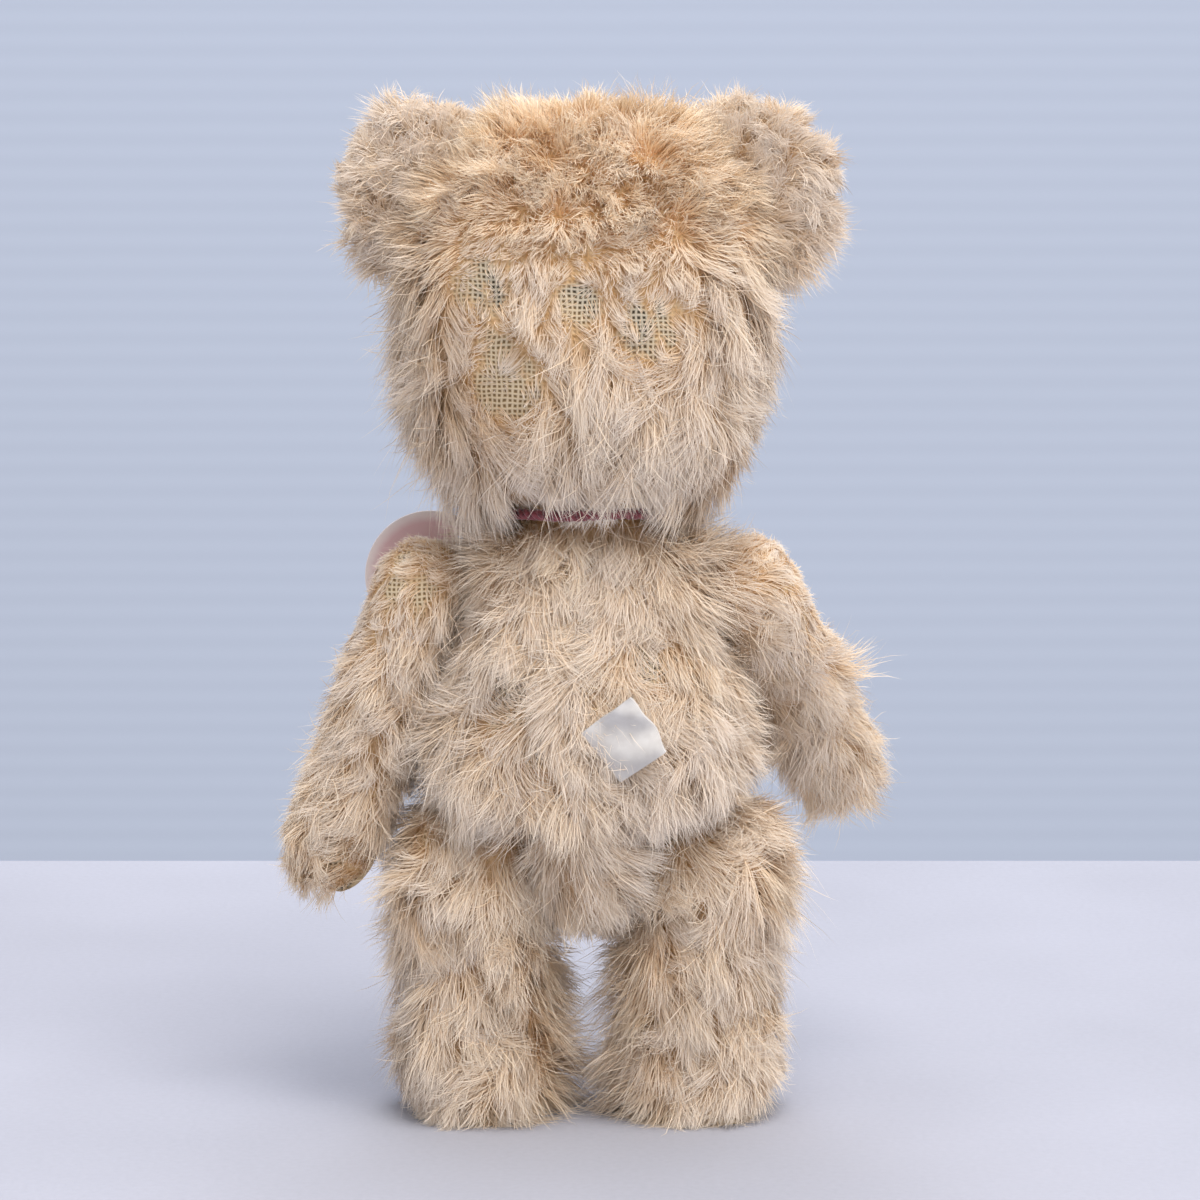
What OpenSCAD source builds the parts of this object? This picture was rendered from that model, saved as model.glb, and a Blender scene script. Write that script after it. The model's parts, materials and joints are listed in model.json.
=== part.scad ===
// A small mohair teddy bear with five disc joints: head, two arms and two legs.
// The bear stands on its soles (z = 0) and faces -Y, so its own left side is +X.
// Every cover is a thin shell of cloth panels round a firm stuffing. Each joint is a pair of
// hardboard discs held together by a cotter pin. Lengths are in millimetres.

/* [Body] */
// Width across the belly, cloth to cloth
belly_w = 48.4; // [40:0.2:60]
// Height of the body from the top of the thighs to the neck
body_h = 45.6; // [38:0.2:56]
// Depth of the belly in front of the joints
belly_front = 19.5; // [16:0.1:24]
// Depth of the back behind the joints
belly_back = 17.5; // [14:0.1:22]
// Width of the crotch between the legs
crotch_w = 14.4; // [14:0.1:22]

/* [Head] */
// Width of the head without its ears
head_w = 53; // [44:0.5:64]
// Height of the head above the neck
head_h = 59; // [48:0.5:70]
// Depth of the head without its muzzle
head_d = 42; // [34:0.5:52]
// How far the muzzle stands out of the face
muzzle_len = 13; // [8:0.5:18]
// Radius of an ear
ear_r = 12.5; // [9:0.1:15]
// Thickness of an ear
ear_t = 5; // [3:0.1:7]
// Diameter of an eye
eye_d = 5.4; // [3:0.1:7]

/* [Arms] */
// Length of an arm from its joint to the paw
arm_len = 48.5; // [41:0.5:58]
// Depth of an arm at the shoulder
arm_d = 17; // [15:0.1:20]
// Thickness of an arm
arm_t = 14.2; // [12:0.1:17]
// How far below the neck the shoulder joints lie
shoulder_drop = 16; // [13:0.1:19]
// Extra outward splay of the left arm in degrees
left_splay = 1.5; // [0:0.5:12]
// Extra outward splay of the right arm in degrees
right_splay = 5.5; // [0:0.5:12]
// How far forward the right arm is turned at rest, in degrees
right_raise = 35; // [0:1:40]

/* [Legs] */
// Height of the hip joints above the ground
leg_len = 38; // [31:0.5:48]
// Depth of a thigh
thigh_d = 22; // [18:0.1:27]
// Thickness of a leg
leg_t = 20.5; // [16:0.1:25]
// How far a toe reaches in front of its hip joint
toe_len = 19; // [15:0.5:24]

/* [Joints] */
// Thickness of the mohair cloth with its seams
cover_t = 1.0; // [0.6:0.1:1.4]
// Room between two covers at a joint
joint_gap = 0.3; // [0.2:0.05:0.8]
// Radius of the hip and shoulder discs
disc_r = 5; // [4:0.1:5.6]
// Radius of the neck discs
neck_disc_r = 7; // [5:0.1:8]
// Thickness of a disc
disc_t = 1; // [0.8:0.1:1.5]
// Thickness of a washer
washer_t = 0.4; // [0.3:0.05:0.6]
// Radius of a washer
washer_r = 3; // [2.4:0.1:3.6]
// Radius of a cotter pin's shank
pin_r = 0.9; // [0.7:0.05:1.2]
// Running clearance of a pin in a disc, on the radius
pin_clear = 0.06; // [0.02:0.01:0.1]

/* [Trim] */
// Thickness of the neck cord
cord_d = 1.8; // [1.2:0.1:2.4]
// How far the fur holds the cord off the neck
cord_stand = 5.2; // [4:0.1:6.5]
// Diameter of the round swing tag
tag_d = 20.6; // [16:0.2:26]
// Thickness of the swing tag's card
tag_t = 0.6; // [0.4:0.1:1.2]
// Width of the sewn-in label tape
label_w = 9.5; // [8:0.5:12]
// Length of the folded label that stands out of the seam
label_len = 9.5; // [7:0.5:12]
// Thickness of the felt of the soles and paw pads
felt_t = 1.2; // [0.8:0.1:1.6]

/* [Hidden] */
SIDES = ["left", "right"];
TORSO_NODES = ["torso_panel_left", "torso_panel_right", "torso_stuffing", "back_closing_stitches",
    "label_tab", "neck_disc_body", "left_shoulder_disc_body", "right_shoulder_disc_body",
    "left_hip_disc_body", "right_hip_disc_body", "body_washers", "neck_cord", "cord_bow",
    "swing_tag", "tag_thread"];
HEAD_NODES = ["head_panel_left", "head_panel_right", "head_gusset", "left_ear_back",
    "left_ear_front", "right_ear_back", "right_ear_front", "left_eye", "right_eye",
    "nose_embroidery", "mouth_stitches", "head_stuffing", "neck_disc_head", "neck_washer_head",
    "neck_cotter_pin"];
LIMB_PIECES = ["outer_panel", "inner_panel", "stuffing", "disc", "washer", "cotter_pin"];

MOHAIR = "#E0C9A4";
MOHAIR_DEEP = "#C9A878";
FELT = "#D9BE93";
EXCELSIOR = "#D8CBA8";
HARDBOARD = "#8A6A48";
STEEL = "#A9ADB2";
CORD_RED = "#6E3235";
SATIN = "#F2EFE8";
CARD_PINK = "#EBC9CB";
THREAD_BROWN = "#3A2A22";
EYE_BLACK = "#15120F";

// Places that every body and joint is built from
ROUND = 48;                                 // facets that OpenSCAD shows on a true round
SEAM = 0.3;                                 // room between a cover and its stuffing
HEAD_SEAM = 0.9;                            // the same in the head, whose cloth curves more
BOXY = 0.8;                                 // exponent of a section: 1 is an ellipse, less is squarer
KEEL_ROOM = 0.4;                            // room between a thigh top and the belly above it
hip_z = leg_len;
thigh_r = thigh_d / 2;
belly_z = hip_z + thigh_r + KEEL_ROOM;
neck_z = belly_z + body_h;
head_z = neck_z + joint_gap + 0.1;
shoulder_z = neck_z - shoulder_drop;
hip_x = crotch_w / 2 + joint_gap;

// The body's outline: [height, half width, depth in front, depth behind]
function body_at(rise, wide, deep) =
    [belly_z + rise * body_h, wide * belly_w / 2, deep * belly_front, deep * belly_back];
keel_hw = crotch_w / 2;
torso_outline = [
    [hip_z - 7.6, 0.3, 0.3, 0.3],
    [hip_z - 7.5, keel_hw * 0.66, 6.5, 6],
    [hip_z - 5, keel_hw * 0.93, 11, 10],
    [hip_z - 1, keel_hw, 14, 12.5],
    [hip_z + 6, keel_hw, 17, 15.5],
    [belly_z, keel_hw, 18, 16.3],
    body_at(0.026, 0.70, 0.96),
    body_at(0.085, 0.93, 0.98),
    body_at(0.19, 1.00, 1.00),
    body_at(0.36, 0.925, 0.98),
    body_at(0.56, 0.815, 0.88),
    body_at(0.75, 0.70, 0.74),
    body_at(0.90, 0.55, 0.58),
    body_at(0.985, 0.41, 0.46),
    [neck_z, 0.3, 0.3, 0.3]];

// The arm planes lean out far enough to pass the belly and the thighs
SHOULDER_HW = lookup(shoulder_z, [for (s = torso_outline) [s[0], s[1]]]);
shoulder_x = SHOULDER_HW + 2 * joint_gap;
ARM_ROOM = 0.5;
least_splay = max([for (s = concat(torso_outline, [[belly_z, hip_x + leg_t, 0, 0]]))
    s[0] < shoulder_z - 1 && s[0] >= belly_z
        ? atan((s[1] + ARM_ROOM - shoulder_x) / (shoulder_z - s[0])) : 0]);
left_tilt = least_splay + left_splay;
right_tilt = least_splay + right_splay;

// Limb outlines from tip to top: [height from the joint, half thickness, front depth, back depth]
arm_r = arm_d / 2;
arm_outline = [
    [-arm_len - 0.1, 0.3, 0.3, 0.3],
    [-arm_len, arm_t * 0.20, 3.2, 1.2],
    [-arm_len + 2, arm_t * 0.36, 6.4, 3.6],
    [-arm_len + 5.5, arm_t * 0.46, 8.2, 5.2],
    [-arm_len * 0.72, arm_t * 0.47, 8.2, 6.0],
    [-arm_len * 0.45, arm_t * 0.48, 7.6, 6.8],
    [-arm_len * 0.2, arm_t * 0.5, arm_r * 0.97, arm_r * 0.93],
    [0, arm_t * 0.5, arm_r, arm_r],
    [arm_r * 0.5, arm_t * 0.45, arm_r * 0.866, arm_r * 0.866],
    [arm_r * 0.8, arm_t * 0.35, arm_r * 0.6, arm_r * 0.6],
    [arm_r * 0.96, arm_t * 0.20, arm_r * 0.28, arm_r * 0.28],
    [arm_r, 0.3, 0.3, 0.3]];
leg_outline = [
    [-leg_len + felt_t - 0.02, leg_t * 0.42, toe_len, 9.5],
    [-leg_len + felt_t + 3, leg_t * 0.50, toe_len * 0.98, 10],
    [-leg_len + 8.5, leg_t * 0.54, toe_len * 0.78, 10],
    [-leg_len * 0.62, leg_t * 0.49, thigh_r * 0.92, 9.6],
    [-leg_len * 0.32, leg_t * 0.48, thigh_r * 0.94, thigh_r * 0.92],
    [0, leg_t * 0.5, thigh_r, thigh_r],
    [thigh_r * 0.5, leg_t * 0.48, thigh_r * 0.866, thigh_r * 0.866],
    [thigh_r * 0.8, leg_t * 0.42, thigh_r * 0.6, thigh_r * 0.6],
    [thigh_r * 0.96, leg_t * 0.28, thigh_r * 0.28, thigh_r * 0.28],
    [thigh_r, 0.3, 0.3, 0.3]];
PAD_ROWS = 4;                               // rows of the arm outline that the paw pad covers

// Joint stack along a joint's axis, outwards from the gap between the two covers
COVER_DISH = 0.0104;                        // how steeply a rounded cover curves in
cover_sag = COVER_DISH * pow(disc_r, 3);    // how far it has come in at a disc's edge
disc_in = joint_gap + cover_t + cover_sag;
washer_in = disc_in + disc_t;
stack_in = washer_in + washer_t;
EYE_MAJOR = 1.4;                            // ring that forms a cotter pin's head
EYE_MINOR = 0.5;
CURL_MAJOR = 0.9;                           // turned-down end of a cotter pin's leg
CURL_MINOR = 0.4;
PIN_ROOM = 0.1;
curl_x = stack_in + PIN_ROOM + CURL_MAJOR + CURL_MINOR;
eye_x = stack_in + PIN_ROOM + EYE_MAJOR + EYE_MINOR;
POCKET_ROOM = 0.3;

// Head: a rounded box with a muzzle, set out round the X axis from the nape (0) over the top (90)
head_mid_z = head_z + 0.48 * head_h;
HEAD_RISE = 0.52;                           // height above the middle, as a share of head_h
HEAD_DROP = 0.56;                           // depth below the middle, where the neck cuts it off
HEAD_SOFT = 0.85;                           // exponents of its outline from the front and the side
HEAD_CURVE = 0.9;
MUZZLE_AT = 204;                            // direction of the muzzle below straight ahead, degrees
MUZZLE_REACH = 46;                          // half the muzzle's height, degrees round the head
MUZZLE_HALF = 40;                           // half the muzzle's width, degrees across the head
NOSE_AT = 194;
EYE_AT = [23, 168];                         // [degrees across, degrees round]
GUSSET_FROM = -15;
GUSSET_TO = 195;
GUSSET_WIDE = 22;
SEAM_ANGLE = 0.15;
HEAD_COLS = 24;
HEAD_ROWS = 8;

// Neck cord and tag
neck_ring_r = torso_outline[len(torso_outline) - 2][1] + cord_stand;
cord_r = cord_d / 2;
cord_z = neck_z - 0.8;
tag_at = [24.6, -arm_r - 4, neck_z - 12.5];
TAG_HOLE_R = 1.1;
TAG_EDGE = 2.4;
TAG_HANG = 42;                              // how far the hole has turned towards the neck
THREAD_R = 0.3;
TAG_CORD_ANGLE = -44;

// The box round the standing bear is centred on the origin
STAND = [-0.22, 5.27, 0];

// ---------- lofts ----------

function power(v, e) = sign(v) * pow(abs(v), e);
function flat(rows) = [for (row = rows) for (p = row) p];

// Two triangles of a quad whose corners run anticlockwise as seen from outside
function quad(a, b, c, d) = [[a, c, b], [a, d, c]];

// Outward direction [out, up] of an outline's row: a pole points straight up or down, and the
// open lower edge of a leg points straight out
function lean(s, i) =
    i == 0 ? (s[0][1] > 1 ? [1, 0] : [0, -1]) :
    i == len(s) - 1 ? [0, 1] :
    let (out = (s[i + 1][1] + s[i + 1][2] - s[i - 1][1] - s[i - 1][2]) / 2,
         up = s[i + 1][0] - s[i - 1][0],
         size = norm([out, up]))
    [up / size, -out / size];

// An outline moved inwards by a thickness
function inset(s, by) = [for (i = [0:len(s) - 1])
    let (n = lean(s, i), in = by * n[0])
    [s[i][0] - by * n[1], s[i][1] - in, s[i][2] - in, s[i][3] - in]];

// One row of points of an outline between two angles, about the vertical line x = mid
function section(row, mid, from, to, steps) = [for (k = [0:steps])
    let (a = from + (to - from) * k / steps)
    [mid + row[1] * power(cos(a), BOXY),
     (sin(a) > 0 ? row[3] : row[2]) * power(sin(a), BOXY), row[0]]];

function grid(outline, mid, from, to, steps) =
    [for (row = outline) section(row, mid, from, to, steps)];

// A cloth panel: the closed sheet between an outer and an inner grid of points
module panel(outer, inner) {
    m = len(outer) - 1;
    n = len(outer[0]) - 1;
    lift = (m + 1) * (n + 1);
    function at(i, j) = i * (n + 1) + j;
    polyhedron(concat(flat(outer), flat(inner)), concat(
        flat([for (i = [0:m - 1], j = [0:n - 1])
            quad(at(i, j), at(i, j + 1), at(i + 1, j + 1), at(i + 1, j))]),
        flat([for (i = [0:m - 1], j = [0:n - 1])
            quad(lift + at(i, j), lift + at(i + 1, j), lift + at(i + 1, j + 1), lift + at(i, j + 1))]),
        flat([for (i = [0:m - 1])
            quad(at(i, 0), at(i + 1, 0), lift + at(i + 1, 0), lift + at(i, 0))]),
        flat([for (i = [0:m - 1])
            quad(at(i + 1, n), at(i, n), lift + at(i, n), lift + at(i + 1, n))]),
        flat([for (j = [0:n - 1])
            quad(at(0, j + 1), at(0, j), lift + at(0, j), lift + at(0, j + 1))]),
        flat([for (j = [0:n - 1])
            quad(at(m, j), at(m, j + 1), lift + at(m, j + 1), lift + at(m, j))])));
}

// A solid loft through closed rings, with flat ends
module loft(rings) {
    m = len(rings) - 1;
    n = len(rings[0]);
    function at(i, j) = i * n + (j % n);
    polyhedron(flat(rings), concat(
        flat([for (i = [0:m - 1], j = [0:n - 1])
            quad(at(i, j), at(i, j + 1), at(i + 1, j + 1), at(i + 1, j))]),
        [[for (j = [0:n - 1]) j]],
        [[for (j = [0:n - 1]) at(m, n - 1 - j)]]));
}

function closed(outline, mid, steps) =
    [for (row = outline) [for (k = [0:steps - 1]) section(row, mid, 0, 360, steps)[k]]];

// ---------- places ----------

module on_side(side) {
    if (side == "left") children();
    else mirror([1, 0, 0]) children();
}

// Joint frames: X runs out of the body into the limb, and the limb hangs down from the joint
module at_shoulder(side) {
    tilt = side == "left" ? left_tilt : right_tilt;
    raise = side == "left" ? 0 : right_raise;
    translate(STAND) on_side(side)
        translate([shoulder_x, 0, shoulder_z]) rotate([0, -tilt, 0]) rotate([-raise, 0, 0]) children();
}

module at_hip(side) {
    translate(STAND) on_side(side) translate([hip_x, 0, hip_z]) children();
}

module at_neck() {
    translate(STAND + [0, 0, head_z]) rotate([0, -90, 0]) children();
}

// ---------- joint hardware, set along X ----------

module along_x(from, to, r) {
    translate([from, 0, 0]) rotate([0, 90, 0]) cylinder(h = to - from, r = r, $fn = ROUND);
}

module pin_hole(from, to) {
    along_x(from, to, pin_r + pin_clear);
}

module body_disc(r) {
    color(HARDBOARD) difference() {
        along_x(-washer_in, -disc_in, r);
        pin_hole(-washer_in - 1, 0);
    }
}

module limb_disc(r) {
    color(HARDBOARD) difference() {
        along_x(disc_in, washer_in, r);
        pin_hole(0, washer_in + 1);
    }
}

module body_washer() {
    color(STEEL) difference() {
        along_x(-stack_in, -washer_in, washer_r);
        pin_hole(-stack_in - 1, 0);
    }
}

module limb_washer() {
    color(STEEL) difference() {
        along_x(washer_in, stack_in, washer_r);
        pin_hole(0, stack_in + 1);
    }
}

module cotter_pin() {
    color(STEEL) {
        along_x(-curl_x, eye_x - EYE_MAJOR, pin_r);
        translate([eye_x, 0, 0]) rotate([90, 0, 0])
            rotate_extrude($fn = ROUND) translate([EYE_MAJOR, 0]) circle(EYE_MINOR, $fn = ROUND / 2);
        for (way = [-1, 1]) translate([-curl_x, way * (CURL_MAJOR + 0.2), 0])
            rotate_extrude($fn = ROUND) translate([CURL_MAJOR, 0]) circle(CURL_MINOR, $fn = ROUND / 2);
    }
}

// Room in the stuffing for what sits on each side of a joint
module body_pocket(r) {
    along_x(-curl_x - CURL_MAJOR - CURL_MINOR - POCKET_ROOM, 1, r + POCKET_ROOM);
}

module limb_pocket(r) {
    along_x(-1, eye_x + EYE_MAJOR + EYE_MINOR + POCKET_ROOM, r + POCKET_ROOM);
}

// ---------- torso ----------

TORSO_STEPS = 10;

module torso_holes(side) {
    at_shoulder(side) pin_hole(-disc_in - 2, joint_gap);
    at_hip(side) pin_hole(-disc_in - 2, joint_gap);
    at_neck() pin_hole(-disc_in - 2, 0);
}

module torso_panel(side) {
    color(MOHAIR) difference() {
        translate(STAND) on_side(side) panel(
            grid(torso_outline, 0, -90, 90, TORSO_STEPS),
            grid(inset(torso_outline, cover_t), 0, -90, 90, TORSO_STEPS));
        torso_holes(side);
    }
}

module torso_stuffing() {
    color(EXCELSIOR) difference() {
        translate(STAND)
            loft(closed(inset(torso_outline, cover_t + SEAM), 0, 2 * TORSO_STEPS));
        for (side = SIDES) {
            at_shoulder(side) body_pocket(disc_r);
            at_hip(side) body_pocket(disc_r);
        }
        at_neck() body_pocket(neck_disc_r);
    }
}

// Short hand stitches across the centre back seam
module back_closing_stitches() {
    count = 7;
    half = 1.6;
    thread_r = 0.3;
    low = belly_z + 0.3 * body_h;
    high = belly_z + 0.72 * body_h;
    color(MOHAIR_DEEP) for (k = [0:count - 1]) {
        z = low + (high - low) * k / (count - 1);
        back = lookup(z, [for (s = torso_outline) [s[0], s[3]]]);
        translate(STAND + [-half, back + thread_r + 0.02, z]) along_x(0, 2 * half, thread_r);
    }
}

// A blank loop of satin tape caught in the back seam and lying over to the right
module label_tab() {
    tape_t = 0.25;
    fold_r = 0.45;
    turn = 38;                              // how far the tape is turned from level
    lift = 28;                              // how far its fold stands out from the back
    base = [-label_w * sin(turn), belly_z + 0.31 * body_h - label_w * cos(turn)];
    back = lookup(base[1] + label_w, [for (s = torso_outline) [s[0], s[3]]]);
    color(SATIN) translate(STAND + [base[0] + 0.4, back + 1.3, base[1]])
        rotate([0, turn, 0]) rotate([0, 0, -lift]) mirror([1, 0, 0])
            linear_extrude(label_w) difference() {
                union() {
                    translate([0, -fold_r]) square([label_len - fold_r, 2 * fold_r]);
                    translate([label_len - fold_r, 0]) circle(fold_r, $fn = ROUND / 2);
                }
                translate([-0.1, tape_t - fold_r])
                    square([label_len - fold_r + 0.1, 2 * (fold_r - tape_t)]);
            }
}

module body_washers() {
    for (side = SIDES) {
        at_shoulder(side) body_washer();
        at_hip(side) body_washer();
    }
    at_neck() body_washer();
}

module cord_ring(r) {
    translate(STAND + [0, 0, cord_z]) rotate_extrude($fn = 2 * ROUND)
        translate([neck_ring_r, 0]) circle(r, $fn = ROUND / 2);
}

module neck_cord() {
    color(CORD_RED) cord_ring(cord_r);
}

// A straight round bar between two points, with slightly fuller round ends
module bar(a, b, r) {
    d = b - a;
    translate(a) rotate([0, acos(d[2] / norm(d)), atan2(d[1], d[0])])
        cylinder(h = norm(d), r = r, $fn = ROUND / 2);
    for (p = [a, b]) translate(p) sphere(1.04 * r, $fn = ROUND / 2);
}

// The bow at the throat: a knot, two loops and two short ends
module cord_bow() {
    knot_r = 2.1;
    loop_r = 3.6;
    tail = [5.5, -3.6, -17];                // from the knot to the end of a tail
    knot = [0, -neck_ring_r - 0.6, cord_z - 1.4];
    color(CORD_RED) difference() {
        translate(STAND) {
            translate(knot) sphere(knot_r, $fn = ROUND);
            for (way = [-1, 1]) {
                translate(knot + [way * (loop_r + knot_r - 0.4), -0.8, -1.6])
                    rotate([78, way * 14, 0]) rotate_extrude($fn = ROUND)
                        translate([loop_r, 0]) circle(cord_r * 0.9, $fn = ROUND / 2);
                bar(knot + [way, -0.6, -1], knot + [way * tail[0], tail[1], tail[2]], cord_r * 0.9);
            }
        }
        cord_ring(cord_r + 0.02);
    }
}

tag_up = [-sin(TAG_HANG), 0, cos(TAG_HANG)];
tag_hole_at = tag_at + (tag_d / 2 - TAG_EDGE) * tag_up;

module swing_tag() {
    color(CARD_PINK) translate(STAND) difference() {
        translate(tag_at + [0, tag_t / 2, 0]) rotate([90, 0, 0])
            cylinder(h = tag_t, d = tag_d, $fn = 2 * ROUND);
        translate(tag_hole_at + [0, tag_t, 0]) rotate([90, 0, 0])
            cylinder(h = 2 * tag_t, r = TAG_HOLE_R, $fn = ROUND);
    }
}

// A thread loop round the cord, and a drop that ends in a loop through the tag
module tag_thread() {
    hold_r = cord_r + 2 * THREAD_R;
    start = [neck_ring_r * cos(TAG_CORD_ANGLE), neck_ring_r * sin(TAG_CORD_ANGLE), cord_z];
    tag_loop = (TAG_EDGE + 3 * THREAD_R) / 2;
    color(MOHAIR_DEEP) translate(STAND) {
        translate(start) rotate([90, 0, TAG_CORD_ANGLE])
            rotate_extrude($fn = ROUND) translate([hold_r, 0]) circle(THREAD_R, $fn = ROUND / 2);
        bar(start + hold_r * [0.6, -0.5, -0.62], tag_hole_at + 2 * tag_loop * tag_up, THREAD_R);
        translate(tag_hole_at + tag_loop * tag_up) rotate([0, -TAG_HANG, 0]) rotate([90, 0, 90])
            rotate_extrude($fn = ROUND) translate([tag_loop, 0]) circle(THREAD_R, $fn = ROUND / 2);
    }
}

// ---------- head ----------

function window(v, half) = abs(v) >= half ? 0 : pow(cos(90 * v / half), 2);

// A point of the head: degrees across from the middle, degrees round, and how far inside the cloth
function head_at(across, around, in) =
    let (side = power(sin(across), HEAD_SOFT),
         ring = power(cos(across), BOXY),
         half_w = head_w / 2 - in,
         half_d = head_d / 2 - in,
         half_h = head_h * (sin(around) > 0 ? HEAD_RISE : HEAD_DROP) - in,
         bump = muzzle_len * window(around - MUZZLE_AT, MUZZLE_REACH) * window(across, MUZZLE_HALF))
    [half_w * side,
     half_d * ring * power(cos(around), HEAD_CURVE) - bump,
     max(head_z + in, head_mid_z + half_h * ring * power(sin(around), HEAD_CURVE))];

// Half the gusset's width in degrees at each place round the head
function gusset_half(around) =
    let (part = (around - GUSSET_FROM) / (GUSSET_TO - GUSSET_FROM))
    part <= 0 || part >= 1 ? 0 : GUSSET_WIDE * pow(sin(180 * part), 0.6);

function head_side(in) = [for (i = [0:HEAD_ROWS])
    [for (j = [0:HEAD_COLS])
        let (around = GUSSET_FROM + 360 * j / HEAD_COLS,
             first = gusset_half(around) + SEAM_ANGLE)
        head_at(first + (88 - first) * i / HEAD_ROWS, around, in)]];

function head_middle(in) = let (rows = 4, cols = (GUSSET_TO - GUSSET_FROM) * HEAD_COLS / 360)
    [for (i = [0:rows]) [for (j = [0:cols])
        let (around = GUSSET_FROM + 360 * j / HEAD_COLS,
             half = max(gusset_half(around) - SEAM_ANGLE, 2 * SEAM_ANGLE / 3))
        head_at(half * (2 * i / rows - 1), around, in)]];

function head_rings(in) = let (rows = 2 * HEAD_ROWS)
    [for (i = [0:rows]) [for (j = [0:HEAD_COLS - 1])
        head_at(88 * (2 * i / rows - 1), GUSSET_FROM + 360 * j / HEAD_COLS, in)]];

// A wrapped panel has its first column again as its last, so its two ends meet in a seam
module closed_panel(outer, inner) {
    m = len(outer) - 1;
    n = len(outer[0]) - 1;
    loft(concat(
        [for (i = [m:-1:0]) [for (j = [0:n - 1]) inner[i][j]]],
        [for (i = [0:m]) [for (j = [0:n - 1]) outer[i][j]]]));
}

module head_solid(in) {
    translate(STAND) loft(head_rings(in));
}

eye_at = head_at(EYE_AT[0], EYE_AT[1], 0);
SHANK_R = 0.6;
SHANK_LEN = 6;
EYE_STAND = 0.5;                            // room between an eye's glass and the cloth

module eye_place(side) {
    translate(STAND) on_side(side) translate(eye_at) children();
}

module eye_hole(side) {
    eye_place(side) translate([0, SHANK_LEN + 0.2, 0]) rotate([90, 0, 0])
        cylinder(h = SHANK_LEN + 3, r = SHANK_R + 0.05, $fn = ROUND);
}

module head_panel(side) {
    color(MOHAIR) difference() {
        translate(STAND) on_side(side) closed_panel(head_side(0), head_side(cover_t));
        at_neck() pin_hole(-1, cover_t + 1);
        eye_hole(side);
    }
}

module head_gusset() {
    color(MOHAIR) translate(STAND) panel(head_middle(0), head_middle(cover_t));
}

module head_stuffing() {
    color(EXCELSIOR) difference() {
        head_solid(cover_t + HEAD_SEAM);
        at_neck() limb_pocket(neck_disc_r);
        for (side = SIDES) eye_hole(side);
    }
}

// Half of a lens, domed along Y: the cloth of one face of an ear, with its filling
module half_lens(rx, rz, depth) {
    rows = 5;
    steps = 20;
    lift = 0.03;
    rotate([-90, 0, 0]) loft([for (i = [0:rows])
        let (rise = 88 * i / rows)
        [for (k = [0:steps - 1])
            let (a = 360 * k / steps)
            [rx * cos(rise) * cos(a), rz * cos(rise) * sin(a), lift + depth * sin(rise)]]]);
}

EAR_IN = 2;                                 // how far an ear's middle lies inside the head's width
EAR_STAND = 0.25;                           // room between an ear and the cloth it is sewn to

module ear(side, face) {
    ear_place = [head_w / 2 - EAR_IN, 1, head_mid_z + 0.33 * head_h];
    color(MOHAIR) difference() {
        translate(STAND) on_side(side) translate(ear_place)
            rotate([face == "back" ? 0 : 180, 0, 0])
                half_lens(ear_r, ear_r, ear_t * (face == "back" ? 0.56 : 0.44));
        head_solid(-EAR_STAND);
    }
}

module eye(side) {
    color(EYE_BLACK) {
        difference() {
            eye_place(side) sphere(d = eye_d, $fn = ROUND);
            head_solid(-EYE_STAND);
        }
        eye_place(side) translate([0, SHANK_LEN, 0]) rotate([90, 0, 0])
            cylinder(h = SHANK_LEN + eye_d / 4, r = SHANK_R, $fn = ROUND);
    }
}

module nose_embroidery() {
    nose_size = [4.4, 3.2, 1.7];            // half width, half height and how far it stands out
    color(THREAD_BROWN) difference() {
        translate(STAND + head_at(0, NOSE_AT, 0)) rotate([180, 0, 0])
            half_lens(nose_size[0], nose_size[1], nose_size[2]);
        head_solid(-SEAM);
    }
}

// An upturned Y of straight stitches below the nose
module mouth_stitches() {
    thread_r = 0.35;
    out = -1.1;
    top = head_at(0, NOSE_AT + 11, out);
    fork = head_at(0, NOSE_AT + 16, out);
    corner = head_at(8, NOSE_AT + 20, out);
    color(THREAD_BROWN) translate(STAND) {
        bar(top, fork, thread_r);
        bar(fork, corner, thread_r);
        bar(fork, [-corner[0], corner[1], corner[2]], thread_r);
    }
}

// ---------- arms and legs, built hanging from their joint ----------

LIMB_STEPS = 8;

// Rows of an outline, from and to
function rows_of(rows, from, to) = [for (i = [from:to]) rows[i]];

module limb_outer(outline, thick) {
    color(MOHAIR) panel(
        grid(outline, thick / 2, -90, 90, LIMB_STEPS),
        grid(inset(outline, cover_t), thick / 2, -90, 90, LIMB_STEPS));
}

module limb_inner(outline, thick, from) {
    last = len(outline) - 1;
    inner = inset(outline, cover_t);
    color(MOHAIR) difference() {
        panel(
            grid(rows_of(outline, from, last), thick / 2, 90, 270, LIMB_STEPS),
            grid(rows_of(inner, from, last), thick / 2, 90, 270, LIMB_STEPS));
        pin_hole(-1, disc_in + 2);
    }
}

module limb_stuffing(outline, thick) {
    color(EXCELSIOR) difference() {
        loft(closed(inset(outline, cover_t + SEAM), thick / 2, 2 * LIMB_STEPS));
        limb_pocket(disc_r);
    }
}

// The felt palm covers the tip of the arm's inner side
module paw_pad() {
    inner = inset(arm_outline, cover_t);
    color(FELT) panel(
        grid(rows_of(arm_outline, 0, PAD_ROWS), arm_t / 2, 90, 270, LIMB_STEPS),
        grid(rows_of(inner, 0, PAD_ROWS), arm_t / 2, 90, 270, LIMB_STEPS));
}

// The flat felt sole the bear stands on
module sole() {
    foot = leg_outline[0];
    color(FELT) translate([0, 0, -leg_len]) linear_extrude(felt_t - 0.05)
        polygon([for (p = section(foot, leg_t / 2, 0, 354, 4 * LIMB_STEPS)) [p[0], p[1]]]);
}

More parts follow.
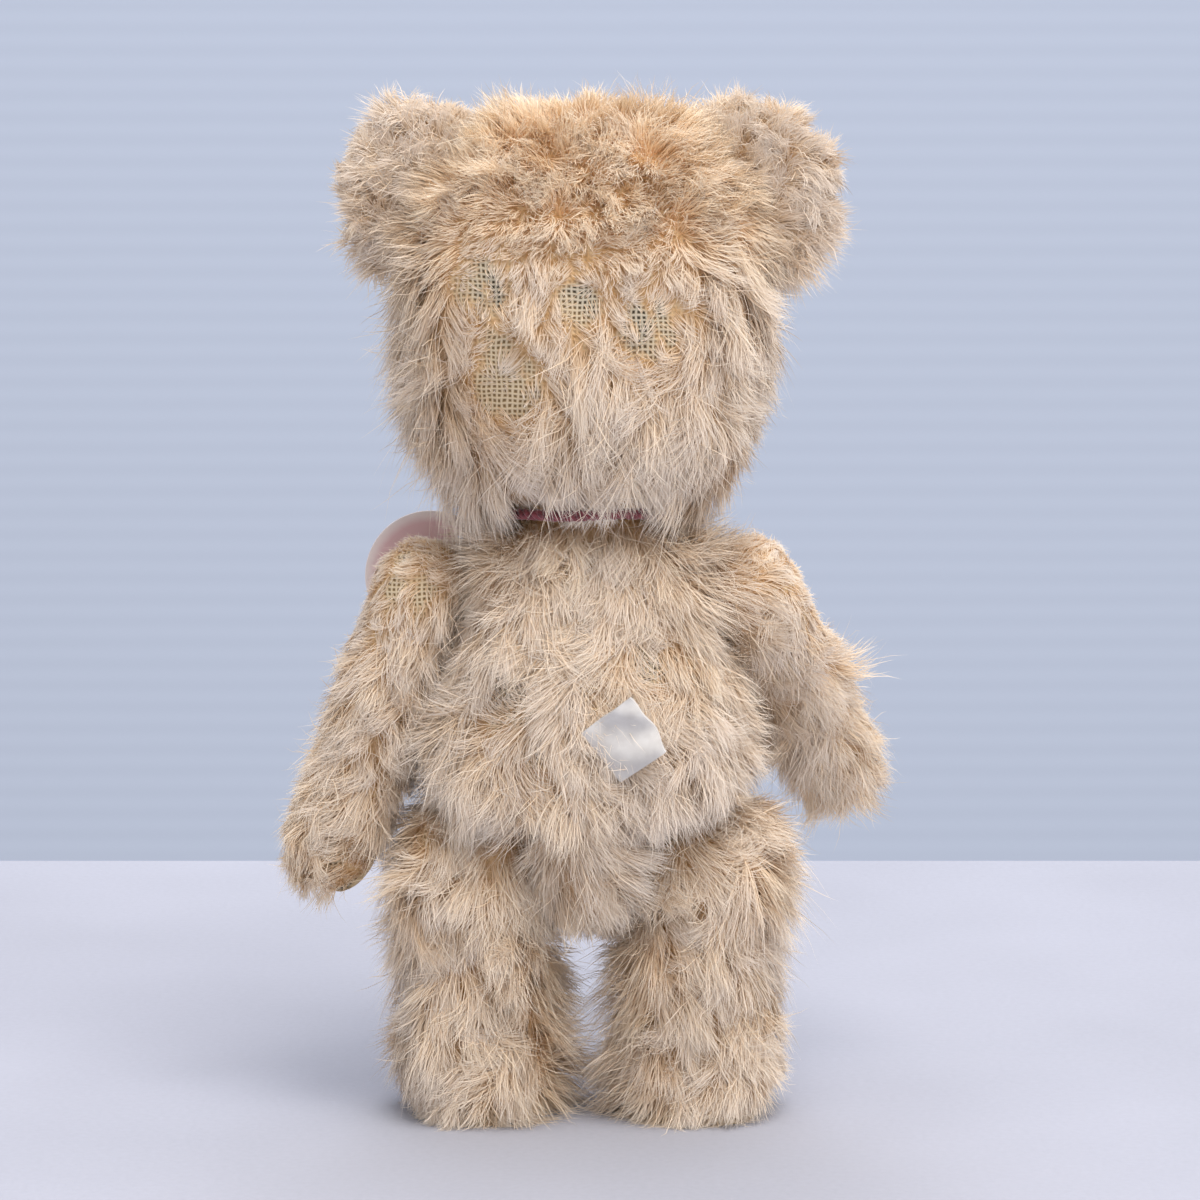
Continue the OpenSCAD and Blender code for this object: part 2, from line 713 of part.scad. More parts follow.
module arm_piece(side, piece) {
    at_shoulder(side) {
        if (piece == "outer_panel") limb_outer(arm_outline, arm_t);
        if (piece == "inner_panel") limb_inner(arm_outline, arm_t, PAD_ROWS);
        if (piece == "paw_pad") paw_pad();
        if (piece == "stuffing") limb_stuffing(arm_outline, arm_t);
        if (piece == "disc") limb_disc(disc_r);
        if (piece == "washer") limb_washer();
        if (piece == "cotter_pin") cotter_pin();
    }
}

module leg_piece(side, piece) {
    at_hip(side) {
        if (piece == "outer_panel") limb_outer(leg_outline, leg_t);
        if (piece == "inner_panel") limb_inner(leg_outline, leg_t, 0);
        if (piece == "sole") sole();
        if (piece == "stuffing") limb_stuffing(leg_outline, leg_t);
        if (piece == "disc") limb_disc(disc_r);
        if (piece == "washer") limb_washer();
        if (piece == "cotter_pin") cotter_pin();
    }
}

torso_panel("left");  // torso_panel_left
torso_panel("right");  // torso_panel_right
torso_stuffing();
back_closing_stitches();
label_tab();
at_neck() body_disc(neck_disc_r);  // neck_disc_body
at_shoulder("left") body_disc(disc_r);  // left_shoulder_disc_body
at_shoulder("right") body_disc(disc_r);  // right_shoulder_disc_body
at_hip("left") body_disc(disc_r);  // left_hip_disc_body
at_hip("right") body_disc(disc_r);  // right_hip_disc_body
body_washers();
neck_cord();
cord_bow();
swing_tag();
tag_thread();
head_panel("left");  // head_panel_left
head_panel("right");  // head_panel_right
head_gusset();
ear("left", "back");  // left_ear_back
ear("left", "front");  // left_ear_front
ear("right", "back");  // right_ear_back
ear("right", "front");  // right_ear_front
eye("left");  // left_eye
eye("right");  // right_eye
nose_embroidery();
mouth_stitches();
head_stuffing();
at_neck() limb_disc(neck_disc_r);  // neck_disc_head
at_neck() limb_washer();  // neck_washer_head
at_neck() cotter_pin();  // neck_cotter_pin
for (side = SIDES) {
    for (piece = concat(LIMB_PIECES, ["paw_pad"]))
        arm_piece(side, piece);
    for (piece = concat(LIMB_PIECES, ["sole"]))
        leg_piece(side, piece);
}
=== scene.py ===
import json
import math

import bpy
import numpy as np
from mathutils import Matrix, Vector
from mathutils.bvhtree import BVHTree
from mathutils.kdtree import KDTree

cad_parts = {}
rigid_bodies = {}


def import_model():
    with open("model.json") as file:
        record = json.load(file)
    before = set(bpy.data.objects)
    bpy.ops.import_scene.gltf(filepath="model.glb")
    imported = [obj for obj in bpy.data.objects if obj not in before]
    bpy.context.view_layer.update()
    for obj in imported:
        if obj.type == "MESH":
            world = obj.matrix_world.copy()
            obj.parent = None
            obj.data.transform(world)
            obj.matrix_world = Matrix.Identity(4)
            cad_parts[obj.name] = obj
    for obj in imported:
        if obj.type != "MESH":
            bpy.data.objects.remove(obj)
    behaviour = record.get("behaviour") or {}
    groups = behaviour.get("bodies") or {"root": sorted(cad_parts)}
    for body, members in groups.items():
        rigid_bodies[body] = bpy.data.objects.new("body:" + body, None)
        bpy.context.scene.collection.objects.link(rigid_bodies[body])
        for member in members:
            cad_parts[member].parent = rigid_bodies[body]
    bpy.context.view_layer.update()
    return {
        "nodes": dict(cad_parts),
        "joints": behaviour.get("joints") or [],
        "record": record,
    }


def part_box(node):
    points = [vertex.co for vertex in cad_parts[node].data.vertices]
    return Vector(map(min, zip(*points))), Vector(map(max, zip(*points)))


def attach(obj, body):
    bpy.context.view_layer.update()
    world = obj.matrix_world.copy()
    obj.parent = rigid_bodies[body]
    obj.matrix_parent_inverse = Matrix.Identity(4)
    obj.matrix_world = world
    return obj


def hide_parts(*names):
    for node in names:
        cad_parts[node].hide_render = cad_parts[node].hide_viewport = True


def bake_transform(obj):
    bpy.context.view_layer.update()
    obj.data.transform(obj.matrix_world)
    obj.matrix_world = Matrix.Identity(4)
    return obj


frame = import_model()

MM = 0.001
nodes = frame["nodes"]

# ---------------------------------------------------------------- the table it stands on
# A small bear stands with its back to the viewer on a white cotton table cloth, in soft
# daylight from a big window and a bright room. The cloth is plain-woven and pressed flat.

def linear(hex_colour):
    """An sRGB colour such as E0C9A4 as linear red, green, blue and alpha."""
    parts = [int(hex_colour[k:k + 2], 16) / 255 for k in (0, 2, 4)]
    return [v / 12.92 if v <= 0.04045 else ((v + 0.055) / 1.055) ** 2.4 for v in parts] + [1.0]


def add_node(material, kind, settings=None, inputs=None):
    """Adds a node. inputs maps a socket to a value or to another node's output."""
    node = material.node_tree.nodes.new(kind)
    for name, value in (settings or {}).items():
        setattr(node, name, value)
    for socket, value in (inputs or {}).items():
        if isinstance(value, bpy.types.NodeSocket):
            material.node_tree.links.new(value, node.inputs[socket])
        else:
            node.inputs[socket].default_value = value
    return node


def new_material(name, **constants):
    """A Principled material with constants on its own sockets; returns it and its shader."""
    material = bpy.data.materials.new(name)
    material.use_nodes = True
    shader = material.node_tree.nodes["Principled BSDF"]
    for socket, value in constants.items():
        shader.inputs[socket.replace("_", " ")].default_value = value
    return material, shader


def ramp_of(material, value, stops, mode="LINEAR"):
    """A colour ramp through (place, hex colour) stops."""
    node = add_node(material, "ShaderNodeValToRGB", inputs={"Fac": value})
    node.color_ramp.interpolation = mode
    while len(node.color_ramp.elements) < len(stops):
        node.color_ramp.elements.new(0.5)
    for element, (place, colour) in zip(node.color_ramp.elements, stops):
        element.position = place
        element.color = linear(colour)
    return node.outputs["Color"]


def colour_by(material, shader, value, stops):
    """Colours a finish by a ramp through (place, hex colour) stops."""
    material.node_tree.links.new(ramp_of(material, value, stops), shader.inputs["Base Color"])


def relief_by(material, shader, height, strength, depth):
    """Raises a finish by a pattern, a given depth in metres."""
    bump = add_node(material, "ShaderNodeBump", inputs={
        "Strength": strength, "Distance": depth, "Height": height})
    material.node_tree.links.new(bump.outputs["Normal"], shader.inputs["Normal"])


def mottle(material, scale, **settings):
    """Noise over the object, of so many spots to the metre."""
    place = add_node(material, "ShaderNodeTexCoord").outputs["Object"]
    return add_node(material, "ShaderNodeTexNoise", inputs={
        "Vector": place, "Scale": scale, **settings}).outputs["Fac"]


def deselect():
    bpy.ops.object.select_all(action="DESELECT")


def select_only(obj):
    """Selects one object and makes it the active one."""
    deselect()
    obj.select_set(True)
    bpy.context.view_layer.objects.active = obj


def apply_modifier(obj, kind, **settings):
    """Gives an object a modifier with these settings and makes its result the mesh."""
    modifier = obj.modifiers.new(kind.lower(), kind)
    for name, value in settings.items():
        setattr(modifier, name, value)
    bpy.context.view_layer.objects.active = obj
    bpy.ops.object.modifier_apply(modifier=modifier.name)


def new_object(name, mesh):
    made = bpy.data.objects.new(name, mesh)
    bpy.context.scene.collection.objects.link(made)
    return made


def flat_sheet(name, material, shape):
    """A square of 1 m, set in place and stretched by a matrix."""
    deselect()
    bpy.ops.mesh.primitive_plane_add(size=1)
    sheet = bpy.context.object
    sheet.name = name
    sheet.data.transform(shape)
    sheet.data.materials.append(material)
    return sheet


def normals_outward():
    """Turns the faces of the active mesh so that they all look out."""
    bpy.ops.object.mode_set(mode="EDIT")
    bpy.ops.mesh.select_all(action="SELECT")
    bpy.ops.mesh.normals_make_consistent(inside=False)
    bpy.ops.object.mode_set(mode="OBJECT")


# Pressed cotton cloth: fine thread noise, matt
tablecloth, shader = new_material("pressed cotton tablecloth", Roughness=0.9)
shader.inputs["Specular IOR Level"].default_value = 0.2
grain = mottle(tablecloth, 900.0, Detail=3.0)
mottled = add_node(tablecloth, "ShaderNodeMath", {"operation": "MULTIPLY_ADD"}, {
    0: grain, 1: 0.5, 2: mottle(tablecloth, 14.0)})
colour_by(tablecloth, shader, mottled.outputs[0], [(0.3, "ACAEB9"), (1.0, "B9BBC7")])
relief_by(tablecloth, shader, grain, 0.25, 0.3 * MM)

CLOTH_WIDE, CLOTH_LONG = 3.0, 2.2
CLOTH_BEYOND = 0.186                # how far it reaches past the bear, away from the eye
floor = flat_sheet("tablecloth", tablecloth, (
    Matrix.Translation((0, CLOTH_LONG / 2 - CLOTH_BEYOND, 0))
    @ Matrix.Diagonal((CLOTH_WIDE, CLOTH_LONG, 1, 1))))

# Painted board past the table, finely ribbed; the ribs are only faint bands of painted
# light and shade on a flat sheet
board, shader = new_material("ribbed painted board", Roughness=0.8)
coords = add_node(board, "ShaderNodeTexCoord").outputs["Object"]
rib_light_and_shade = add_node(board, "ShaderNodeTexWave", {"bands_direction": "Z"}, {
    "Vector": coords, "Scale": 26.0, "Distortion": 0.3})
colour_by(board, shader, rib_light_and_shade.outputs["Fac"], [(0.0, "CBD6EC"), (1.0, "CED9EF")])
BOARD_AWAY, BOARD_MIDDLE = 1.6, 0.4
backdrop = flat_sheet("backdrop", board, (
    Matrix.Translation((0, -BOARD_AWAY, BOARD_MIDDLE)) @ Matrix.Rotation(math.radians(90), 4, "X")
    @ Matrix.Diagonal((7, 5, 1, 1))))

scene = bpy.context.scene
scene.view_settings.view_transform = "Standard"
world = bpy.data.worlds.new("room")
scene.world = world
world.use_nodes = True
world.node_tree.nodes["Background"].inputs["Color"].default_value = linear("D3D1D0")
world.node_tree.nodes["Background"].inputs["Strength"].default_value = 0.86


def window_light(name, place, size, power, colour="FFFFFF", towards=(0, 0, 0.08)):
    """A soft square light that faces the bear's chest, or another place."""
    data = bpy.data.lights.new(name, "AREA")
    data.size = size
    data.energy = power
    data.color = linear(colour)[:3]
    lamp = bpy.data.objects.new(name, data)
    scene.collection.objects.link(lamp)
    lamp.location = place
    aim = Vector(towards) - Vector(place)
    lamp.rotation_euler = aim.to_track_quat("-Z", "Y").to_euler()


window_light("window", (-0.2, 0.5, 1.15), 0.7, 10.5, "FFFAF6")
window_light("room_right", (-0.8, 0.6, 0.6), 0.8, 3.0, "FFFDFA")
window_light("room_front", (0.1, -0.9, 0.8), 0.8, 4.0, "F4F7FF")
window_light("board_wash", (0.0, -0.5, 1.6), 1.2, 9.0, "F4F7FF", (0, -BOARD_AWAY, 0.2))

# The eye is behind the bear, a little above its middle
EYE_HEIGHT = 8.0                    # degrees above level
EYE_AWAY = 0.62
VIEW_HEIGHT = 184.4 * MM            # of the object plane that fills the picture
aim_at = Vector((-2.1 * MM, 0.005, 80.4 * MM))
camera_data = bpy.data.cameras.new("camera")
camera_data.sensor_width = 36.0
camera_data.lens = 18.0 * EYE_AWAY / (VIEW_HEIGHT / 2)
camera = bpy.data.objects.new("camera", camera_data)
scene.collection.objects.link(camera)
scene.camera = camera
lift = math.radians(EYE_HEIGHT)
camera.location = aim_at + EYE_AWAY * Vector((0, math.cos(lift), math.sin(lift)))
camera.rotation_euler = (aim_at - camera.location).to_track_quat("-Z", "Y").to_euler()
camera_data.clip_start = 0.01

# ---------------------------------------------------------------- joints and stuffing
# Each joint is two pressed-board discs, steel washers and a bent cotter pin of dull wire.
# The bear is stuffed hard with wood wool before the last seam is sewn. All of it is hidden.

hardboard, shader = new_material("pressed hardboard", Roughness=0.8)
colour_by(hardboard, shader, mottle(hardboard, 1500.0, Detail=6.0),
          [(0.3, "6E5236"), (0.7, "9A7850")])

wire_steel, shader = new_material("dull zinc-plated steel", Metallic=1.0, Roughness=0.42)
colour_by(wire_steel, shader, mottle(wire_steel, 700.0), [(0.3, "8F9499"), (0.7, "B9BDC1")])

wood_wool, shader = new_material("packed wood wool", Roughness=0.85)
coords = add_node(wood_wool, "ShaderNodeTexCoord").outputs["Object"]
curl = add_node(wood_wool, "ShaderNodeTexWave", inputs={
    "Vector": coords, "Scale": 350.0, "Distortion": 18.0, "Detail": 3.0})
colour_by(wood_wool, shader, curl.outputs["Fac"], [(0.1, "A08858"), (0.8, "E2D3AC")])


def made_of(name, material):
    """Gives a node a finish in place of its plain one."""
    nodes[name].data.materials.clear()
    nodes[name].data.materials.append(material)


HIDDEN = {"disc": hardboard, "washer": wire_steel, "cotter": wire_steel, "stuffing": wood_wool}
for name in nodes:
    for word, material in HIDDEN.items():
        if word in name:
            made_of(name, material)

# ---------------------------------------------------------------- cloth backing
# Mohair cloth is an open cotton weave that holds the pile in tufts. Where the pile has
# worn away the beige threads show, with painted shade in the gaps between them. It is sewn
# inside out, turned and stuffed, so every seam draws the cloth in to a shallow groove.

WEAVE = 0.74 * MM                   # from one thread to the next
SKIN_VOXEL = 0.9 * MM
SOLE_INSIDE = 0.7 * MM              # height at which the cloth meets the felt of a sole


def joined_copy(name, members):
    """One new mesh object that holds copies of these CAD nodes."""
    deselect()
    for member in members:
        copy = nodes[member].copy()
        copy.data = nodes[member].data.copy()
        for key in list(copy.keys()):
            del copy[key]
        copy.parent = None
        scene.collection.objects.link(copy)
        copy.select_set(True)
        bpy.context.view_layer.objects.active = copy
    bpy.ops.object.join()
    made = bpy.context.object
    made.name = name
    made.data.materials.clear()
    return made


def outer_skin(name, members, voxel=SKIN_VOXEL, rounds=14):
    """The smooth closed outside of some CAD nodes: remeshed, rid of inner walls and smoothed."""
    skin = joined_copy(name, members)
    apply_modifier(skin, "REMESH", mode="VOXEL", voxel_size=voxel)
    bpy.ops.mesh.separate(type="LOOSE")
    shells = list(bpy.context.selected_objects)
    outside = max(shells, key=lambda o: o.dimensions.length)
    for shell in shells:
        if shell is not outside:
            bpy.data.objects.remove(shell)
    outside.name = name
    apply_modifier(outside, "SMOOTH", factor=0.5, iterations=rounds)
    for face in outside.data.polygons:
        face.use_smooth = True
    return outside


def coordinates(obj):
    found = np.empty(len(obj.data.vertices) * 3)
    obj.data.vertices.foreach_get("co", found)
    return found.reshape(-1, 3)


def inflate(skin, pressure=4.0, most=0.6 * MM):
    """Lets the stuffing push the cloth out, as a cloth simulation whose result is kept."""
    start = coordinates(skin)
    cloth = skin.modifiers.new("cloth", "CLOTH")
    cloth.settings.quality = 5
    cloth.settings.mass = 0.3
    cloth.settings.tension_stiffness = 25
    cloth.settings.compression_stiffness = 25
    cloth.settings.use_pressure = True
    cloth.settings.uniform_pressure_force = pressure
    cloth.settings.effector_weights.gravity = 0.0
    cloth.collision_settings.use_collision = False
    for k in range(1, 13):
        scene.frame_set(k)
    graph = bpy.context.evaluated_depsgraph_get()
    shaped = skin.evaluated_get(graph).to_mesh()
    after = np.empty(len(shaped.vertices) * 3)
    shaped.vertices.foreach_get("co", after)
    skin.modifiers.remove(cloth)
    scene.frame_set(1)
    move = after.reshape(-1, 3) - start
    far = np.linalg.norm(move, axis=1, keepdims=True)
    move *= np.minimum(1.0, most / np.maximum(far, 1e-9))
    skin.data.vertices.foreach_set("co", (start + move).ravel())
    skin.data.update()


def draw_in_seam(skin, axis, place, half=1.1 * MM, depth=0.45 * MM):
    """Pulls the cloth in along the plane where two panels are sewn together."""
    points = coordinates(skin)
    normals = np.array([v.normal for v in skin.data.vertices])
    near = np.clip(1 - np.abs(points[:, axis] - place) / half, 0, 1)
    points -= normals * (depth * near * near)[:, None]
    skin.data.vertices.foreach_set("co", points.ravel())
    skin.data.update()


# Plain weave of beige cotton: matt threads with painted shade between them, greyed in places by wear
backing, shader = new_material("plain-woven cotton backing", Roughness=0.88)
shader.inputs["Specular IOR Level"].default_value = 0.2
coords = add_node(backing, "ShaderNodeTexCoord").outputs["Object"]
sway = add_node(backing, "ShaderNodeTexNoise", inputs={
    "Vector": coords, "Scale": 260.0, "Detail": 2.0})
swayed = add_node(backing, "ShaderNodeVectorMath", {"operation": "MULTIPLY_ADD"}, {
    0: sway.outputs["Color"], 1: (0.0011,) * 3, 2: coords})
parts = add_node(backing, "ShaderNodeSeparateXYZ", inputs={0: swayed.outputs[0]})


def thread_height(direction):
    """Rounded threads that run one way, one per WEAVE."""
    turn = add_node(backing, "ShaderNodeMath", {"operation": "MULTIPLY"}, {
        0: parts.outputs[direction], 1: math.pi / WEAVE})
    wave = add_node(backing, "ShaderNodeMath", {"operation": "SINE"}, {0: turn.outputs[0]})
    return add_node(backing, "ShaderNodeMath", {"operation": "ABSOLUTE"}, {
        0: wave.outputs[0]}).outputs[0]


crossing = add_node(backing, "ShaderNodeMath", {"operation": "MAXIMUM"}, {
    0: thread_height("X"), 1: thread_height("Z")}).outputs[0]
# both ramps darken the low places between the threads as painted shade of the gaps
threads = ramp_of(backing, crossing, [(0.60, "8A7352"), (0.78, "C9B18E"), (0.97, "DECBAC")])
greyed = ramp_of(backing, crossing, [(0.58, "4A4337"), (0.78, "A69A85"), (0.97, "CBC0AB")])
stain = add_node(backing, "ShaderNodeMapRange", inputs={
    "Value": mottle(backing, 90.0), "From Min": 0.48, "From Max": 0.62})
mixed = add_node(backing, "ShaderNodeMix", {"data_type": "RGBA"}, {
    0: stain.outputs[0], 6: threads, 7: greyed})
# Away from the worn places the cloth is hidden under the felted roots of the pile; their
# warm brown is partly their own colour and partly painted shade under the pile
roots = ramp_of(backing, mottle(backing, 1100.0, Detail=4.0),
                [(0.3, "C0945F"), (0.5, "DAB486"), (0.72, "EBD0A6")])
bareness = add_node(backing, "ShaderNodeAttribute", {"attribute_name": "bare"})
shown = add_node(backing, "ShaderNodeMapRange", inputs={
    "Value": bareness.outputs["Fac"], "From Min": 0.1, "From Max": 0.6})
covered = add_node(backing, "ShaderNodeMix", {"data_type": "RGBA"}, {
    0: shown.outputs[0], 6: roots, 7: mixed.outputs[2]})
backing.node_tree.links.new(covered.outputs[2], shader.inputs["Base Color"])
relief_by(backing, shader, crossing, 0.8, 0.25 * MM)


def members_of(body, *words):
    """The CAD nodes of a body whose names hold one of the words."""
    return [n for n in frame["record"]["behaviour"]["bodies"][body] if any(w in n for w in words)]


skins = {}
LIMBS = ("left_arm", "right_arm", "left_leg", "right_leg")
for body in ("torso", "head") + LIMBS:
    core = members_of(body, "panel", "gusset", "stuffing", "disc", "washer", "sole", "pad")
    skins[body] = outer_skin(body + "_backing", core)
    skins[body].data.materials.append(backing)
    inflate(skins[body])
    if body.endswith("leg"):
        # the cloth ends inside the edge of the felt sole
        for v in skins[body].data.vertices:
            v.co.z = max(v.co.z, SOLE_INSIDE)
    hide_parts(*members_of(body, "panel", "gusset"))
    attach(skins[body], body)

middle_x = sum(corner.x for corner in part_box("neck_cord")) / 2
draw_in_seam(skins["torso"], 0, middle_x)
for side in ("left", "right"):
    leg_low, leg_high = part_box(side + "_leg_outer_panel")
    draw_in_seam(skins[side + "_leg"], 0, leg_low.x if side == "left" else leg_high.x)

# Ears are two rounds of mohair sewn face to face, turned, lightly filled and sewn on the head
for side in ("left", "right"):
    name = side + "_ear"
    skins[name] = outer_skin(name + "_backing", [name + "_back", name + "_front"], 0.6 * MM, 6)
    skins[name].data.materials.append(backing)
    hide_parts(name + "_back", name + "_front")
    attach(skins[name], "head")

# ---------------------------------------------------------------- mohair pile
# The pile is combed goat hair: fine, lustrous, slightly wavy strands that cling together in
# pointed locks. Age has matted it, worn it thin on the high spots and yellowed the crown.
# Every strand is a tapered ribbon; its colour runs from a brown root to a cream tip. The
# brown near the root is partly the hair's own colour and partly painted shade deep in the pile.

mohair, shader = new_material("combed mohair pile", Roughness=0.55)
shader.inputs["Specular IOR Level"].default_value = 0.38
shader.inputs["Sheen Weight"].default_value = 0.35
shader.inputs["Sheen Roughness"].default_value = 0.4
shader.inputs["Sheen Tint"].default_value = linear("FFF3DC")
pile_data = add_node(mohair, "ShaderNodeAttribute", {"attribute_name": "pile"})
pile_parts = add_node(mohair, "ShaderNodeSeparateColor", inputs={0: pile_data.outputs["Color"]})
tone, along = pile_parts.outputs[0], pile_parts.outputs[1]
# the darker, warmer start of both ramps is partly painted shade deep in the pile
cream = ramp_of(mohair, along, [(0.0, "D9B58A"), (0.35, "EBD4B8"), (1.0, "F8EEE4")])
honey = ramp_of(mohair, along, [(0.0, "ECC190"), (0.3, "FDE0BA"), (1.0, "FFF3DF")])
mixed = add_node(mohair, "ShaderNodeMix", {"data_type": "RGBA"}, {0: tone, 6: cream, 7: honey})
mohair.node_tree.links.new(mixed.outputs[2], shader.inputs["Base Color"])

STRAND_W = 0.112 * MM
STRAY = 0.1                         # share of the strands that keep out of their lock
DROOP = 0.14                        # how far a tip sinks, as a share of the strand
DENSITY = 1.0


def unit(v):
    return v / np.maximum(np.linalg.norm(v, axis=-1, keepdims=True), 1e-12)


def ripple(points, size, seed, channels=3):
    """Smooth noise between about -1 and 1, of a given feature size, seeded."""
    draw = np.random.default_rng(seed)
    total = np.zeros((len(points), channels))
    for _ in range(7):
        wave = draw.normal(size=(3, channels)) * (2.2 / size)
        total += np.sin(points @ wave + draw.uniform(0, 2 * math.pi, channels))
    return total / 3.0


def tree_of(obj):
    points = [v.co.copy() for v in obj.data.vertices]
    return BVHTree.FromPolygons(points, [tuple(p.vertices) for p in obj.data.polygons])


skin_trees = {name: tree_of(skin) for name, skin in skins.items()}


def body_name(name):
    return "head" if name.endswith("ear") else name


def room_over(name, reach=12 * MM):
    """For each point of a skin, how far its normal runs before it meets another body."""
    others = [tree for other, tree in skin_trees.items() if body_name(other) != body_name(name)]
    room = []
    for v in skins[name].data.vertices:
        start = v.co + v.normal * (0.3 * MM)
        hits = [tree.ray_cast(start, v.normal, reach)[3] for tree in others]
        near = [tree.find_nearest(v.co, 2 * MM)[3] for tree in others]
        room.append(min([h for h in hits if h is not None] + [reach]
                        + [2 * n for n in near if n is not None]))
    return np.array(room)


def scatter(name, count, weight, seed):
    """Random roots on a skin: places, normals and the free room over them."""
    skin = skins[name]
    draw = np.random.default_rng(seed)
    skin.data.calc_loop_triangles()
    faces = np.array([t.vertices for t in skin.data.loop_triangles])
    points = coordinates(skin)
    normals = np.array([v.normal for v in skin.data.vertices])
    room = room_over(name)
    corners = points[faces]
    area = np.linalg.norm(
        np.cross(corners[:, 1] - corners[:, 0], corners[:, 2] - corners[:, 0]), axis=1)
    tries = int(count * 3)
    pick = draw.choice(len(faces), tries, p=area / area.sum())
    share = draw.dirichlet((1, 1, 1), tries)
    place = (corners[pick] * share[:, :, None]).sum(1)
    normal = unit((normals[faces[pick]] * share[:, :, None]).sum(1))
    free = (room[faces[pick]] * share).sum(1)
    keep = draw.random(tries) < weight(place, normal, free)
    return place[keep][:count], normal[keep][:count], free[keep][:count]


def paths_of(place, normal, style, seed, levels):
    """The line of every strand, its side direction and its tone."""
    draw = np.random.default_rng(seed)
    count = len(place)
    comb = unit(style["comb"] - normal * (style["comb"] * normal).sum(1, keepdims=True))
    side = np.cross(normal, comb)
    # every strand belongs to the lock whose middle is nearest
    middles = draw.choice(count, max(8, int(count * style["locks"])), replace=False)
    tree = KDTree(len(middles))
    for k, m in enumerate(middles):
        tree.insert(place[m], k)
    tree.balance()
    lock = np.array([tree.find(p)[1] for p in place])
    centre = place[middles][lock]
    lock_turn = draw.normal(0, 1, (len(middles), 2))[lock]
    lock_tone = draw.normal(0, 1, len(middles))[lock]
    lock_long = draw.normal(0, 1, len(middles))[lock]
    phase = draw.uniform(0, 2 * math.pi, len(middles))[lock] + draw.normal(0, 0.5, count)
    pitch = draw.uniform(4.5, 8.5, len(middles))[lock]
    stray = draw.random(count) < STRAY
    turn = lock_turn[:, 0] * style["jumble"] + draw.normal(0, 0.11 + 0.6 * stray, count)
    bend = draw.normal(0, 0.85, len(middles))[lock] + draw.normal(0, 0.2 + 0.7 * stray, count)
    bend = np.where(np.abs(bend) < 0.05, 0.05, bend)
    lift = style["lift"] * np.exp(0.2 * lock_turn[:, 1] + draw.normal(0, 0.13, count)) + 0.3 * stray
    lift = np.clip(lift, 0.06, 1.5)
    heading = comb * np.cos(turn)[:, None] + side * np.sin(turn)[:, None]
    across = np.cross(normal, heading)
    length = style["length"] * np.exp(0.15 * lock_long + draw.normal(0, 0.13, count))
    cling = np.where(stray, 0.08, style["cling"] * draw.uniform(0.6, 1.15, count))
    frizz = draw.normal(0, 1, (count, 3)) * (0.05 + 0.06 * stray)[:, None]
    wave = style["wave"] * draw.uniform(0.5, 1.5, count) * np.minimum(1, length / (5 * MM))
    path = []
    for k in range(levels + 1):
        s = k / levels
        ahead = length * np.cos(lift) * (np.sin(turn + bend * s) - np.sin(turn)) / bend
        aside = length * np.cos(lift) * (np.cos(turn) - np.cos(turn + bend * s)) / bend
        point = place + comb * ahead[:, None] + side * aside[:, None]
        point = point + normal * (length * s * np.sin(lift))[:, None]
        point = point - normal * (length * 0.2 * np.sin(lift) * s * s)[:, None]
        point = point - np.array([0, 0, 1.0]) * (length * DROOP * s * s)[:, None]
        point = point - (place - centre) * (cling * s ** 1.2)[:, None]
        swing = np.sin(phase + s * pitch) - np.sin(phase)
        lean = np.cos(phase + s * pitch) - np.cos(phase)
        point = point + across * (wave * swing * s ** 0.6)[:, None]
        point = point + normal * (0.6 * wave * lean * s ** 0.6)[:, None]
        point = point + frizz * (length * s ** 1.5)[:, None]
        point[:, 2] = np.maximum(point[:, 2], 0.12 * MM)
        path.append(point)
    roll = draw.uniform(-0.45, 0.45, count)
    facing = normal * np.cos(roll)[:, None] + across * np.sin(roll)[:, None]
    tone = np.clip(style["tone"] + 0.16 * lock_tone + draw.normal(0, 0.09, count), 0, 1)
    width = STRAND_W / DENSITY ** 0.5 * draw.uniform(0.65, 1.25, count)
    return np.stack(path, 1), facing, tone, width


